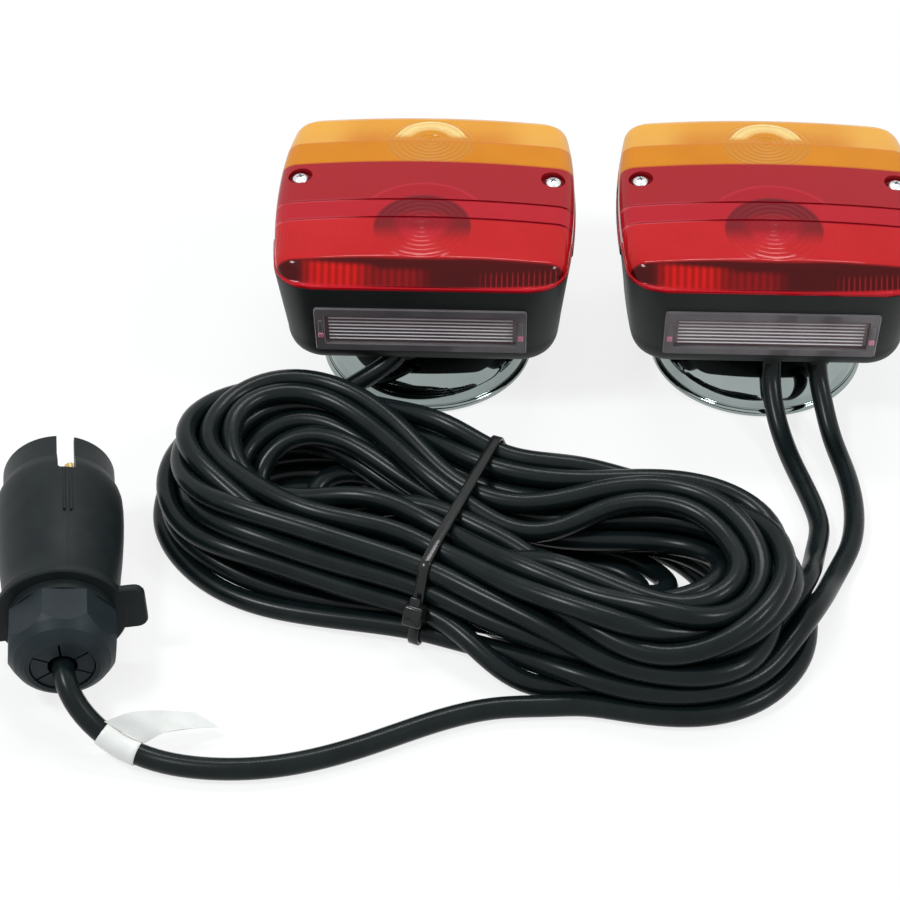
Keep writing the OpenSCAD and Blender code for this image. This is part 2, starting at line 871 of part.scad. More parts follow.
module plug_body() {
    ro = shroud_d / 2;
    rb = plug_d / 2;
    rt = rb - 2.2;
    outline = [
        [ro, 0.6], [ro, shoulder_z],
        [rb - 1, shoulder_z + 3], [rb - 0.2, shoulder_z + 6], [rb, shoulder_z + 10],
        [rb - 0.3, 32], [rb - 1.2, 44], [rt - 0.2, 56], [rt - 0.4, collar_z],
        [rb, collar_z], [rb, collar_z + collar_t], [neck_d / 2, collar_z + collar_t], [neck_d / 2, nut_z],
        [stem_d / 2, nut_z], [stem_d / 2, stem_end], [gland_bore / 2, stem_end], [gland_bore / 2, 58],
        [ro - shroud_wall - 1, 52], [ro - shroud_wall - 1, insert_z + insert_t],
        [ro - shroud_wall, insert_z + insert_t], [ro - shroud_wall, 0], [ro - 0.6, 0]
    ];
    color([0.2, 0.22, 0.23])
        at_plug()
            difference() {
                union() {
                    rotate_extrude($fn = 96)
                        polygon(outline);
                    collar_ears();
                    key_rib();
                }
                key_slot();
                translate([0, 0, 50])
                    cylinder(h = 40, d = gland_bore);
            }
}

// Two flat ears on the collar, one each side, clear of the body's bore
module collar_ears() {
    for (s = [-1, 1])
        translate([s * (ear_reach - 3), 0, collar_z + collar_t / 2])
            difference() {
                hull()
                    for (y = [-1, 1]) {
                        translate([0, y * (ear_h / 2 - 3), 0])
                            cylinder(h = collar_t, r = 3, center = true, $fn = hull_fn);
                        translate([-s * 6, y * (ear_h / 2 - 2), 0])
                            cylinder(h = collar_t, r = 2, center = true, $fn = hull_fn);
                    }
                translate([-s * (ear_reach - 3), 0, 0])
                    cylinder(h = 2 * collar_t, d = plug_d - 2, center = true);
            }
}

module key_slot() {
    rotate([0, 0, -key_angle])
        translate([-key_w / 2, shroud_d / 2 - 2 * shroud_wall, -1])
            cube([key_w, 4 * shroud_wall, key_l + 1]);
}

// Two narrow ribs side by side that carry the key's line along the body
module key_rib() {
    rotate([0, 0, -key_angle])
        for (s = [-1, 1])
            translate([s * rib_gap / 2 - rib_w / 2, plug_d / 2 - 1.6, key_l])
                cube([rib_w, 1.9, 24]);
}

module plug_insert() {
    color([0.16, 0.17, 0.18])
        at_plug()
            difference() {
                translate([0, 0, insert_z])
                    cylinder(h = insert_t, r = shroud_d / 2 - shroud_wall - slip);
                pin_places()
                    translate([0, 0, insert_z - 1])
                        cylinder(h = insert_t + 2, d = pin_d);
                screw_holes(slip);
            }
}

module pin_places() {
    children();
    for (i = [0 : 5])
        rotate([0, 0, 60 * i + 30])
            translate([0, pin_ring_r, 0])
                children();
}

module screw_holes(gap) {
    for (i = [0 : 5])
        rotate([0, 0, 60 * i + 30])
            translate([0, pin_ring_r + pin_d / 2 + 0.2, insert_z + insert_t - 5])
                rotate([-90, 0, 0])
                    cylinder(h = 2.8 + 4 * gap, d = 2.4 + 2 * gap);
}

// Brass pins with a slit across their tips
module contact_pins() {
    color([0.85, 0.68, 0.35])
        at_plug()
            pin_places()
                difference() {
                    union() {
                        translate([0, 0, pin_front_z + 1])
                            cylinder(h = pin_back_z - pin_front_z - 1, d = pin_d);
                        translate([0, 0, pin_front_z])
                            cylinder(h = 1 + eps, d1 = pin_d - 1.6, d2 = pin_d);
                    }
                    translate([0, 0, pin_front_z])
                        cube([0.7, pin_d + 2, 12], center = true);
                    translate([0, 0, pin_back_z - 6])
                        cylinder(h = 8, d = 2.6);
                }
}

module terminal_screws() {
    color([0.8, 0.8, 0.82])
        at_plug()
            screw_holes(0);
}

module gland_seal() {
    color([0.1, 0.1, 0.1])
        at_plug()
            translate([0, 0, seal_z])
                difference() {
                    cylinder(h = stem_end - seal_z - 2, d = gland_bore - 2 * slip);
                    translate([0, 0, -1])
                        cylinder(h = stem_end, d = cable_d + slip);
                }
}

// Ring of fingers that the nut closes on the cable
module gland_collet() {
    color([0.17, 0.18, 0.18])
        at_plug()
            difference() {
                translate([0, 0, stem_end - 2])
                    cylinder(h = plug_l - stem_end + 1.4, d = gland_bore - 2 * slip);
                translate([0, 0, stem_end - 3])
                    cylinder(h = 20, d = collet_hole);
                for (i = [0 : collet_slits - 1])
                    rotate([0, 0, 360 / collet_slits * i])
                        translate([-slit_w / 2, 0, stem_end + 2])
                            cube([slit_w, gland_bore, plug_l - stem_end]);
            }
}

module gland_nut() {
    corner = nut_flats / 2 / cos(22.5);
    mouth = gland_bore / 2 + slip;
    dome_outline = [
        [0, nut_z - 1], [corner + 1, nut_z - 1], [corner + 1, plug_l - 10],
        [corner - 1.2, plug_l - 5.5], [corner - 3, plug_l - 2.6],
        [corner - 5, plug_l - 0.8], [corner - 6.4, plug_l], [0, plug_l]
    ];
    color([0.19, 0.21, 0.22])
        at_plug()
            difference() {
                intersection() {
                    translate([0, 0, nut_z])
                        rotate([0, 0, 22.5 - 10])
                            cylinder(h = plug_l - nut_z, r = corner, $fn = 8);
                    rotate_extrude($fn = 96)
                        polygon(dome_outline);
                }
                translate([0, 0, nut_z - 1])
                    cylinder(h = stem_end + slip - nut_z + 1, d = stem_d + 2 * slip);
                translate([0, 0, nut_z])
                    cylinder(h = plug_l, r = mouth);
            }
}

function unit(v) = v / norm(v);
function heading(route, i) =
    unit(route[min(i + 1, len(route) - 1)] - route[max(i - 1, 0)]);

// One closed tube along a route, with a ring of points at each of its places from first to last
module cable_tube(route, r, first, last) {
    rings = last - first;
    points = [
        for (i = [first : last])
            let (ahead = heading(route, i),
                 across = unit(cross(ahead, [0.3, 0.1, 1])),
                 up = cross(across, ahead))
            for (j = [0 : tube_sides - 1])
                let (a = 360 * j / tube_sides)
                route[i] + r * (cos(a) * across + sin(a) * up)
    ];
    sides = [
        for (i = [0 : rings - 1], j = [0 : tube_sides - 1])
            let (n = (j + 1) % tube_sides, a = i * tube_sides, b = a + tube_sides)
            [a + j, a + n, b + n, b + j]
    ];
    near_end = [for (j = [tube_sides - 1 : -1 : 0]) j];
    far_end = [for (j = [0 : tube_sides - 1]) rings * tube_sides + j];
    polyhedron(points, concat(sides, [near_end, far_end]), convexity = 6);
}

module cable(route) {
    color([0.1, 0.11, 0.12])
        cable_tube(route, cable_d / 2, 0, len(route) - 1);
}

// Places children at the hank's left end, X along the hank
module at_hank() {
    translate([hank_left[0], hank_left[1], 0])
        rotate([0, 0, hank_angle])
            children();
}

// Half section of the cables in the hank: the outer side leans in, row upon row
module hank_section() {
    polygon([[hollow_r, 0], [hank_foot, 0], [hank_foot, cable_d / 2],
             [hank_crown, hank_h - cable_d / 2], [hollow_r, hank_h - cable_d / 2]]);
    for (k = [0 : hank_rows - 1])
        translate([hank_foot - k * hank_batter, cable_d / 2 + k * hank_rise])
            circle(d = cable_d, $fn = strand_fn);
    for (k = [1 : hank_top_columns - 1])
        translate([hank_crown - k * cable_d, hank_h - cable_d / 2])
            circle(d = cable_d, $fn = strand_fn);
}

module hank_end(side) {
    intersection() {
        rotate_extrude($fn = hull_fn)
            hank_section();
        translate([side < 0 ? -hank_w : -eps, -hank_w, -1])
            cube([hank_w + eps, 2 * hank_w, hank_h + 2]);
    }
}

// Straight runs at the sides, and the lower ones that close up under the tie
module hank_runs() {
    for (s = [0, 1])
        translate([hank_span * s, 0, 0])
            rotate([90, 0, s == 0 ? 90 : -90])
                linear_extrude(hank_span)
                    hank_section();
    count = ceil(2 * hollow_r / cable_d);
    top = cable_d / 2 + (middle_rows - 1) * hank_rise;
    translate([middle_from, 0, 0])
        rotate([90, 0, 90])
            linear_extrude(middle_to - middle_from) {
                translate([-hollow_r - 1, 0])
                    square([2 * hollow_r + 2, top]);
                for (i = [0 : count - 1])
                    translate([(i - (count - 1) / 2) * cable_d, top])
                        circle(d = cable_d, $fn = strand_fn);
            }
}

module cable_hank() {
    color([0.1, 0.11, 0.12])
        at_hank()
            difference() {
                union() {
                    hank_end(-1);
                    translate([hank_span, 0, 0])
                        hank_end(1);
                    hank_runs();
                }
                tie_band(tie_w + 2 * tie_gap, 2 * tie_t, tie_t + tie_gap);
            }
}

// Outline of the hank where the tie goes round it, moved out by so much
function tie_outline(out) =
    let (foot = [hank_w / 2 - tie_round, tie_round],
         crown = [hank_crown + cable_d / 2 - tie_round, hank_h - tie_round],
         right = concat(
             [for (i = [0 : 4]) foot + (tie_round + out) * direction(-90 + (90 + tie_lean) * i / 4)],
             [for (i = [0 : 4]) crown + (tie_round + out) * direction(tie_lean + (90 - tie_lean) * i / 4)]))
    concat(right, [for (i = [len(right) - 1 : -1 : 0]) [-right[i][0], right[i][1]]]);

// Ring round the hank, from so far outside its surface to so far inside
module tie_band(w, outside, inside) {
    translate([tie_along - w / 2, 0, 0])
        rotate([90, 0, 90])
            linear_extrude(w)
                difference() {
                    polygon(tie_outline(outside));
                    polygon(tie_outline(-inside));
                }
}

// Places children on the tie's near side: Y = 0 halfway through the strap, Z up along it
module on_tie_side() {
    straight = tie_round * (1 + sin(tie_lean));
    out = hank_w / 2 - tie_round * (1 - cos(tie_lean)) - (tie_head_z - straight) * tan(tie_lean) - tie_t / 2;
    translate([tie_along, -out, tie_head_z])
        rotate([-tie_lean, 0, 0])
            children();
}

module cable_tie() {
    color([0.13, 0.14, 0.14])
        at_hank()
            union() {
                tie_band(tie_w, 0, tie_t);
                on_tie_side()
                    translate([-tie_head[0] / 2, -tie_head[1], -tie_head[2] / 2])
                        cube(tie_head);
                on_tie_side()
                    translate([-tie_w / 2, -tie_head[1] + 1.4, tie_head[2] / 2 - eps])
                        cube([tie_w, tie_t, 2.6]);
            }
}

// Paper label: a band round the cable and a flag that stands off from it
module cable_label() {
    color([0.92, 0.93, 0.9])
        difference() {
            union() {
                cable_tube(plug_lead_route, cable_d / 2 + label_t, label_first, label_last);
                for (i = [0 : len(label_stations) - 2])
                    hull() {
                        label_fold(label_stations[i]);
                        label_fold(label_stations[i + 1]);
                    }
            }
            cable_tube(plug_lead_route, cable_d / 2, label_first - 1, label_last + 1);
        }
}

module label_fold(ends) {
    for (p = ends)
        translate(p)
            cube(label_t, center = true);
}

magnet_pad(-1);  // left_magnet_pad
pole_plate(-1);  // left_pole_plate
ring_magnet(-1);  // left_ring_magnet
magnet_cup(-1);  // left_magnet_cup
magnet_bolt(-1);  // left_magnet_bolt
magnet_spacer(-1);  // left_magnet_spacer
magnet_nut(-1);  // left_magnet_nut
housing(-1);  // left_housing
cable_grommets(-1);  // left_cable_grommets
bulb_carrier(-1);  // left_bulb_carrier
bulb_socket(-1, "stop");  // left_stop_socket
bulb_socket(-1, "indicator");  // left_indicator_socket
bulb_glass(-1, "stop");  // left_stop_bulb
bulb_glass(-1, "indicator");  // left_indicator_bulb
bulb_cap(-1, "stop");  // left_stop_cap
bulb_cap(-1, "indicator");  // left_indicator_cap
terminal_block(-1);  // left_terminal_block
lens_gasket(-1);  // left_lens_gasket
red_lens(-1);  // left_red_lens
amber_lens(-1);  // left_amber_lens
plate_window(-1);  // left_plate_window
lens_screws(-1);  // left_lens_screws
magnet_pad(1);  // right_magnet_pad
pole_plate(1);  // right_pole_plate
ring_magnet(1);  // right_ring_magnet
magnet_cup(1);  // right_magnet_cup
magnet_bolt(1);  // right_magnet_bolt
magnet_spacer(1);  // right_magnet_spacer
magnet_nut(1);  // right_magnet_nut
housing(1);  // right_housing
cable_grommets(1);  // right_cable_grommets
bulb_carrier(1);  // right_bulb_carrier
bulb_socket(1, "stop");  // right_stop_socket
bulb_socket(1, "indicator");  // right_indicator_socket
bulb_glass(1, "stop");  // right_stop_bulb
bulb_glass(1, "indicator");  // right_indicator_bulb
bulb_cap(1, "stop");  // right_stop_cap
bulb_cap(1, "indicator");  // right_indicator_cap
terminal_block(1);  // right_terminal_block
lens_gasket(1);  // right_lens_gasket
red_lens(1);  // right_red_lens
amber_lens(1);  // right_amber_lens
plate_window(1);  // right_plate_window
lens_screws(1);  // right_lens_screws
plug_body();
plug_insert();
contact_pins();
terminal_screws();
gland_seal();
gland_collet();
gland_nut();
cable(plug_lead_route);  // plug_lead
cable_hank();
cable(right_main_route);  // right_main_lead
cable(right_link_route);  // right_link_lead
cable(left_link_route);  // left_link_lead
cable_tie();
cable_label();
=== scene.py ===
import math
import bmesh
import bpy
import numpy as np
from mathutils import Matrix, Vector


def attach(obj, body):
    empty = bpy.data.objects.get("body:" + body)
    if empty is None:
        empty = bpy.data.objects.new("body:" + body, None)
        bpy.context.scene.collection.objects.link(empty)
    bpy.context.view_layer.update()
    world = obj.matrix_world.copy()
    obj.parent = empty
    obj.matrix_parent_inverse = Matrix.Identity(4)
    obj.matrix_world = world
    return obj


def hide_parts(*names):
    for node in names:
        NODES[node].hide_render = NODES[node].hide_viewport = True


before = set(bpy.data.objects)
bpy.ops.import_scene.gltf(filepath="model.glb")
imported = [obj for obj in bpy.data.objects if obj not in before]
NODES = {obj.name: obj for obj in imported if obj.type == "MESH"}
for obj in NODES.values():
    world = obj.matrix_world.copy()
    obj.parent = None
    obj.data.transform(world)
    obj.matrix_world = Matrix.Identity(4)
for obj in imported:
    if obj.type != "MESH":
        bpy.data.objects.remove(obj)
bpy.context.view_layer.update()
MM = 0.001

# ---------------------------------------------------------------- camera

PHOTO = 900
FOCAL_PX = 2175.47
AIM = Vector((-55.12, -65.0, 0.0)) * MM
RANGE = 794.4 * MM
RISE = math.radians(43.196)
ROLL = math.radians(-0.848)


def add_camera():
    data = bpy.data.cameras.new("camera")
    data.sensor_width = 36
    data.lens = 36 * FOCAL_PX / PHOTO
    data.clip_end = 50
    camera = bpy.data.objects.new("camera", data)
    back = Vector((0, -math.cos(RISE), math.sin(RISE)))
    turn = Matrix.Rotation(math.pi / 2 - RISE, 4, "X") @ Matrix.Rotation(ROLL, 4, "Z")
    camera.matrix_world = Matrix.Translation(AIM + back * RANGE) @ turn
    bpy.context.scene.collection.objects.link(camera)
    bpy.context.scene.camera = camera


add_camera()

# ---------------------------------------------------------------- helpers
# Shapes are worked out in millimetres; mesh_piece turns them into metres.


def mesh_piece(name, points, faces, slot=None, replaces=(), ride=True):
    mesh = bpy.data.meshes.new(name)
    mesh.from_pydata([tuple(p) for p in np.asarray(points, float) * MM], [], [tuple(f) for f in faces])
    mesh.update()
    mesh.polygons.foreach_set("use_smooth", [True] * len(mesh.polygons))
    piece = bpy.data.objects.new(name, mesh)
    bpy.context.scene.collection.objects.link(piece)
    if ride:
        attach(piece, "root")
    if replaces:
        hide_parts(*replaces)
    return piece


def grid(k, n, shut=False):
    """Faces between k rings of n points; shut joins the last ring to the first, else both ends are capped."""
    faces = [(i * n + j, i * n + (j + 1) % n, (i + 1) % k * n + (j + 1) % n, (i + 1) % k * n + j)
             for i in range(k if shut else k - 1) for j in range(n)]
    return faces if shut else faces + [tuple(range(n - 1, -1, -1)), tuple(range((k - 1) * n, k * n))]


def patch(k, n):
    """Faces of a sheet of k rows of n points, and the loop of points round its edge."""
    at = np.arange(k * n).reshape(k, n)
    quads = np.stack([at[:-1, :-1], at[:-1, 1:], at[1:, 1:], at[1:, :-1]], -1).reshape(-1, 4)
    return quads, np.r_[at[0], at[1:, -1], at[-1, -2::-1], at[-2:0:-1, 0]]


def layered(rings, close=True):
    """Solid through (outline, height) rings; without close the last ring joins the first, as in a frame."""
    points = [(x, y, z) for ring, z in rings for x, y in ring]
    return points, grid(len(rings), len(rings[0][0]), shut=not close)


def revolved(profile, sides, centre=(0, 0)):
    """Closed ring made by turning a closed profile of (radius, height) points round a centre."""
    r, z = np.asarray(profile, float).T
    a = np.arange(sides)[:, None] * 2 * math.pi / sides
    points = np.stack([centre[0] + r * np.cos(a), centre[1] + r * np.sin(a), np.repeat(z[None], sides, 0)], -1)
    return points.reshape(-1, 3), [(a, d, c, b) for a, b, c, d in grid(sides, len(profile), shut=True)]


def ring_of(w, h, r):
    """Oblong with round corners."""
    return [(x + r * math.cos(a), y + r * math.sin(a))
            for x, y, start in ((w / 2 - r, h / 2 - r, 0), (-w / 2 + r, h / 2 - r, 90),
                                (-w / 2 + r, -h / 2 + r, 180), (w / 2 - r, -h / 2 + r, 270))
            for a in np.radians(start + np.linspace(0, 90, 5))]


def stepped(w, h, rows, close=True):
    """Solid through oblongs; each row says by how much one is smaller, its corners' radius and its height."""
    rings = []
    for less, corner, z in rows:
        dw, dh = np.broadcast_to(less, 2)
        rings.append((ring_of(w - dw, h - dh, corner), z))
    return layered(rings, close)


def curve_through(points, per=12):
    """Catmull-Rom curve through the points."""
    p = np.asarray(points, float)
    p = np.vstack([2 * p[0] - p[1], p, 2 * p[-1] - p[-2]])
    t = np.linspace(0, 1, per, endpoint=False)[:, None]
    out = []
    for a, b, c, d in zip(p[:-3], p[1:-2], p[2:-1], p[3:]):
        out.append(0.5 * (2 * b + (c - a) * t + (2 * a - 5 * b + 4 * c - d) * t**2 + (3 * b - a - 3 * c + d) * t**3))
    return np.vstack(out + [p[-2:-1]])


def arc_lengths(p):
    return np.r_[0, np.cumsum(np.linalg.norm(np.diff(p, axis=0), axis=1))]


def resampled(p, step):
    s = arc_lengths(p)
    t = np.linspace(0, s[-1], max(2, int(round(s[-1] / step))) + 1)
    return np.stack([np.interp(t, s, p[:, k]) for k in range(3)], 1)


# ---------------------------------------------------------------- cords
# The routes repeat the ones in the part's source.

CABLE_D = 7.2
CABLE_R = CABLE_D / 2
LIE = CABLE_R + 0.1
LAMP_PITCH, LAMP_STAGGER, LAMP_YAW = 125, 5, math.radians(-3)
REAR_Z, ENTRY_Y = 25, -39.0
PLUG_AT, PLUG_YAW = (-191, -98, 21.5), math.radians(7.6)
HANK_LEFT = np.array([-112.0, -95.0])
HANK_RIGHT = np.array([17.5, -149.5])
SPAN = float(np.linalg.norm(HANK_RIGHT - HANK_LEFT))
ALONG = (HANK_RIGHT - HANK_LEFT) / SPAN
ACROSS = np.array([-ALONG[1], ALONG[0]])
TIE_U, TIE_FOOT, TIE_CROWN, TIE_LOW, TIE_HIGH, TIE_T = 66.0, 43.8, 34.8, 1.2, 29.8, 1.2
TIE_LEAN = math.atan2(TIE_FOOT - TIE_CROWN, 19)


def at_lamp(side, points):
    """Places points of a lamp's own frame; side is -1 for the left lamp and 1 for the right one."""
    x, y, z = np.asarray(points, float).T
    c, s = math.cos(LAMP_YAW), math.sin(LAMP_YAW)
    return np.stack([side * LAMP_PITCH / 2 + x * c - y * s, -side * LAMP_STAGGER / 2 + x * s + y * c, z], 1)


def at_plug(points, turn=0.0):
    """Places points given round the plug's axis, from its mouth backwards, and turned about that axis."""
    x, y, z = np.asarray(points, float).T
    c, s = math.cos(turn), math.sin(turn)
    x, y = x * c + y * s, y * c - x * s
    c, s = math.cos(PLUG_YAW), math.sin(PLUG_YAW)
    return np.stack([PLUG_AT[0] + c * x + s * z, PLUG_AT[1] + s * x - c * z, PLUG_AT[2] + y], 1)


def leaving(side, x, lean):
    """First points of a cable that drops out of a lamp at x."""
    drop = [(0, 0, 1.5), (0, 0, -1.2), (0.02, -0.9, -4.5), (0.1, -3.1, -7.5), (0.35, -7, -10.3)]
    return at_lamp(side, [(x + a * lean, ENTRY_Y + b, REAR_Z + c) for a, b, c in drop]).tolist()


PLUG_ROUTE = at_plug([(0, 0, back) for back in (68, 78, 89)]).tolist() + [
    [-178, -191.6, 20.3], [-175.8, -195.8, 17.5], [-171.5, -200, 13.2], [-166.5, -203, 9.3],
    [-160, -206.3, 6], [-152, -209.3, 4.1], [-142, -212.2, LIE], [-130, -213.8, LIE],
    [-118, -213.8, LIE], [-106, -212.2, LIE], [-94, -209, LIE], [-82, -204.6, LIE],
    [-70, -199.4, LIE], [-58, -194.6, LIE], [-46, -191.2, LIE], [-34, -189.8, LIE],
    [-22, -190, LIE], [-10, -190.8, LIE], [2, -191, 4], [14, -189, 4.5]]
MAIN_ROUTE = leaving(1, 2.5, 1) + [
    [63, -55.5, 10.4], [65, -62, 6.2], [66.2, -70, 4.2], [68, -79, LIE], [70.2, -89, LIE],
    [72.3, -99, LIE], [73.6, -109, LIE], [73.4, -119, LIE], [71, -128, LIE],
    [66, -136.4, 4], [59.8, -143.8, 4.8], [53, -150.8, 5.6]]
LINK_ROUTE = leaving(1, 19, 4) + [
    [81.6, -56.5, 10.4], [82.8, -63, 6.2], [84.2, -71, 4.2], [85.8, -80, LIE], [86.8, -90, LIE],
    [86.8, -100, LIE], [85.6, -110, LIE], [83, -120, LIE], [79, -129.5, LIE], [74, -138.5, LIE],
    [68, -147, LIE], [61.5, -155.5, 4], [54, -163.5, 4.2]]
LEFT_ROUTE = leaving(-1, -6, -2) + [
    [-74.5, -49, 11.2], [-79.5, -53.8, 8.6], [-87, -56, 6.8], [-95, -56, 5.6],
    [-102, -57.5, 5]]

# Turns of the two cables in the hank: turn number, layer, how many cables in from the outside, and how far
# short of the hank's ends the loops turn back.
LINK_TURNS = [(0.03, 0.1, 0, 0), (0.12, 0.9, 0, 0), (0.3, 0.6, 0.3, 0), (0.5, 0, 0.7, 0), (1.1, 0, 1.3, 0),
              (2, 0, 1.9, 0), (3, 0.5, 2.6, 12), (4, 1, 1.4, 0), (4.4, 0.9, 0.5, 0), (4.63, 0.3, 0, 0)]
MAIN_TURNS = [(-0.03, 0.4, 0.7, 0), (0.06, 1.1, 0.5, 0), (1, 1.5, 0, 0), (2, 2, 0.5, 0), (3, 2, 1.4, 0),
              (4, 2, 2.2, 0), (5, 1.5, 2.8, 0), (6, 0.2, 3.4, 30), (7, 1.3, 3.2, 26), (8, 3, 2.2, 0),
              (9, 3, 1.4, 0), (10, 3, 0.5, 0), (11, 3, 0, 0), (12, 4, 0.3, 0), (13.1, 4, 1.2, 0),
              (13.4, 3, 0.2, 0), (13.65, 0.8, 0, 0), (14, 0, 0, 0), (14.55, 0, 0.2, 0), (15, 0, 1.1, 0),
              (15.09, 0, 0.6, 0)]
# Length of a cord's straight bits; the hank's radius at its foot and its top, and the lean of its sides;
# step inwards from cable to cable, step up from layer to layer and inwards with each, and the least radius.
SEG = 9.0
OUTER_R, TOP_R, SLOPE = 46.0, 33.0, 0.52
NEST, LAYER, BATTER, INNER_R = 7.25, 6.6, 3.3, 17.5
# How far apart loops end, the stiffness at the ends and between, the tightest bend, the hank's top, the pull of
# what keeps its form, how wide the tie starts, and how far the cables sink in a step.
JITTER, STIFF_END, STIFF, BEND_R, HANK_TOP, FORM_PULL, TIE_OPEN, SINK = 8, 0.1, 0.08, 21, 29, 0.4, 17, 0.06


def winding(turns, rng):
    """Cable laid turn by turn in ovals round the hank's two centres."""
    when, layers, nests, shorts = np.array(turns, float).T
    count = int(when[-1]) + 3
    left, right = rng.uniform(-1, 1, (2, count)) * JITTER
    out = []
    for t in np.linspace(when[0], when[-1], int((when[-1] - when[0]) * 60) + 1):
        layer, nest, short = (np.interp(t, when, k) for k in (layers, nests, shorts))
        r = max(OUTER_R - NEST * nest - BATTER * layer, INNER_R)
        a = np.interp(t + 1, np.arange(count), left) + short
        b = SPAN + np.interp(t + 1, np.arange(count), right) - short
        q, run = math.pi * r / 2, b - a
        s = (t - math.floor(t)) * (4 * q + 2 * run)
        if s < q:
            u, v = b + r * math.cos(s / r), -r * math.sin(s / r)
        elif s < q + run:
            u, v = b - (s - q), -r
        elif s < 3 * q + run:
            w = math.pi / 2 + (s - q - run) / r
            u, v = a + r * math.cos(w), -r * math.sin(w)
        elif s < 3 * q + 2 * run:
            u, v = a + (s - 3 * q - run), r
        else:
            w = math.pi / 2 - (s - 3 * q - 2 * run) / r
            u, v = b + r * math.cos(w), r * math.sin(w)
        out.append((*(HANK_LEFT + u * ALONG + v * ACROSS), CABLE_R + 0.2 + LAYER * layer))
    return np.array(out)


def nearest(p0, p1, q0, q1):
    """Closest points of segment pairs, as shares along each and the gap between them."""
    d1, d2, r = p1 - p0, q1 - q0, p0 - q0
    a, e, f = (d1 * d1).sum(1), (d2 * d2).sum(1), (d2 * r).sum(1)
    c, b = (d1 * r).sum(1), (d1 * d2).sum(1)
    den = a * e - b * b
    s = np.where(den > 1e-9 * a * e, np.clip((b * f - c * e) / np.maximum(den, 1e-12), 0, 1), 0.5)
    t = np.clip((b * s + f) / e, 0, 1)
    s = np.clip((b * t - c) / a, 0, 1)
    t = np.clip((b * s + f) / e, 0, 1)
    return s, t, (p0 + d1 * s[:, None]) - (q0 + d2 * t[:, None])


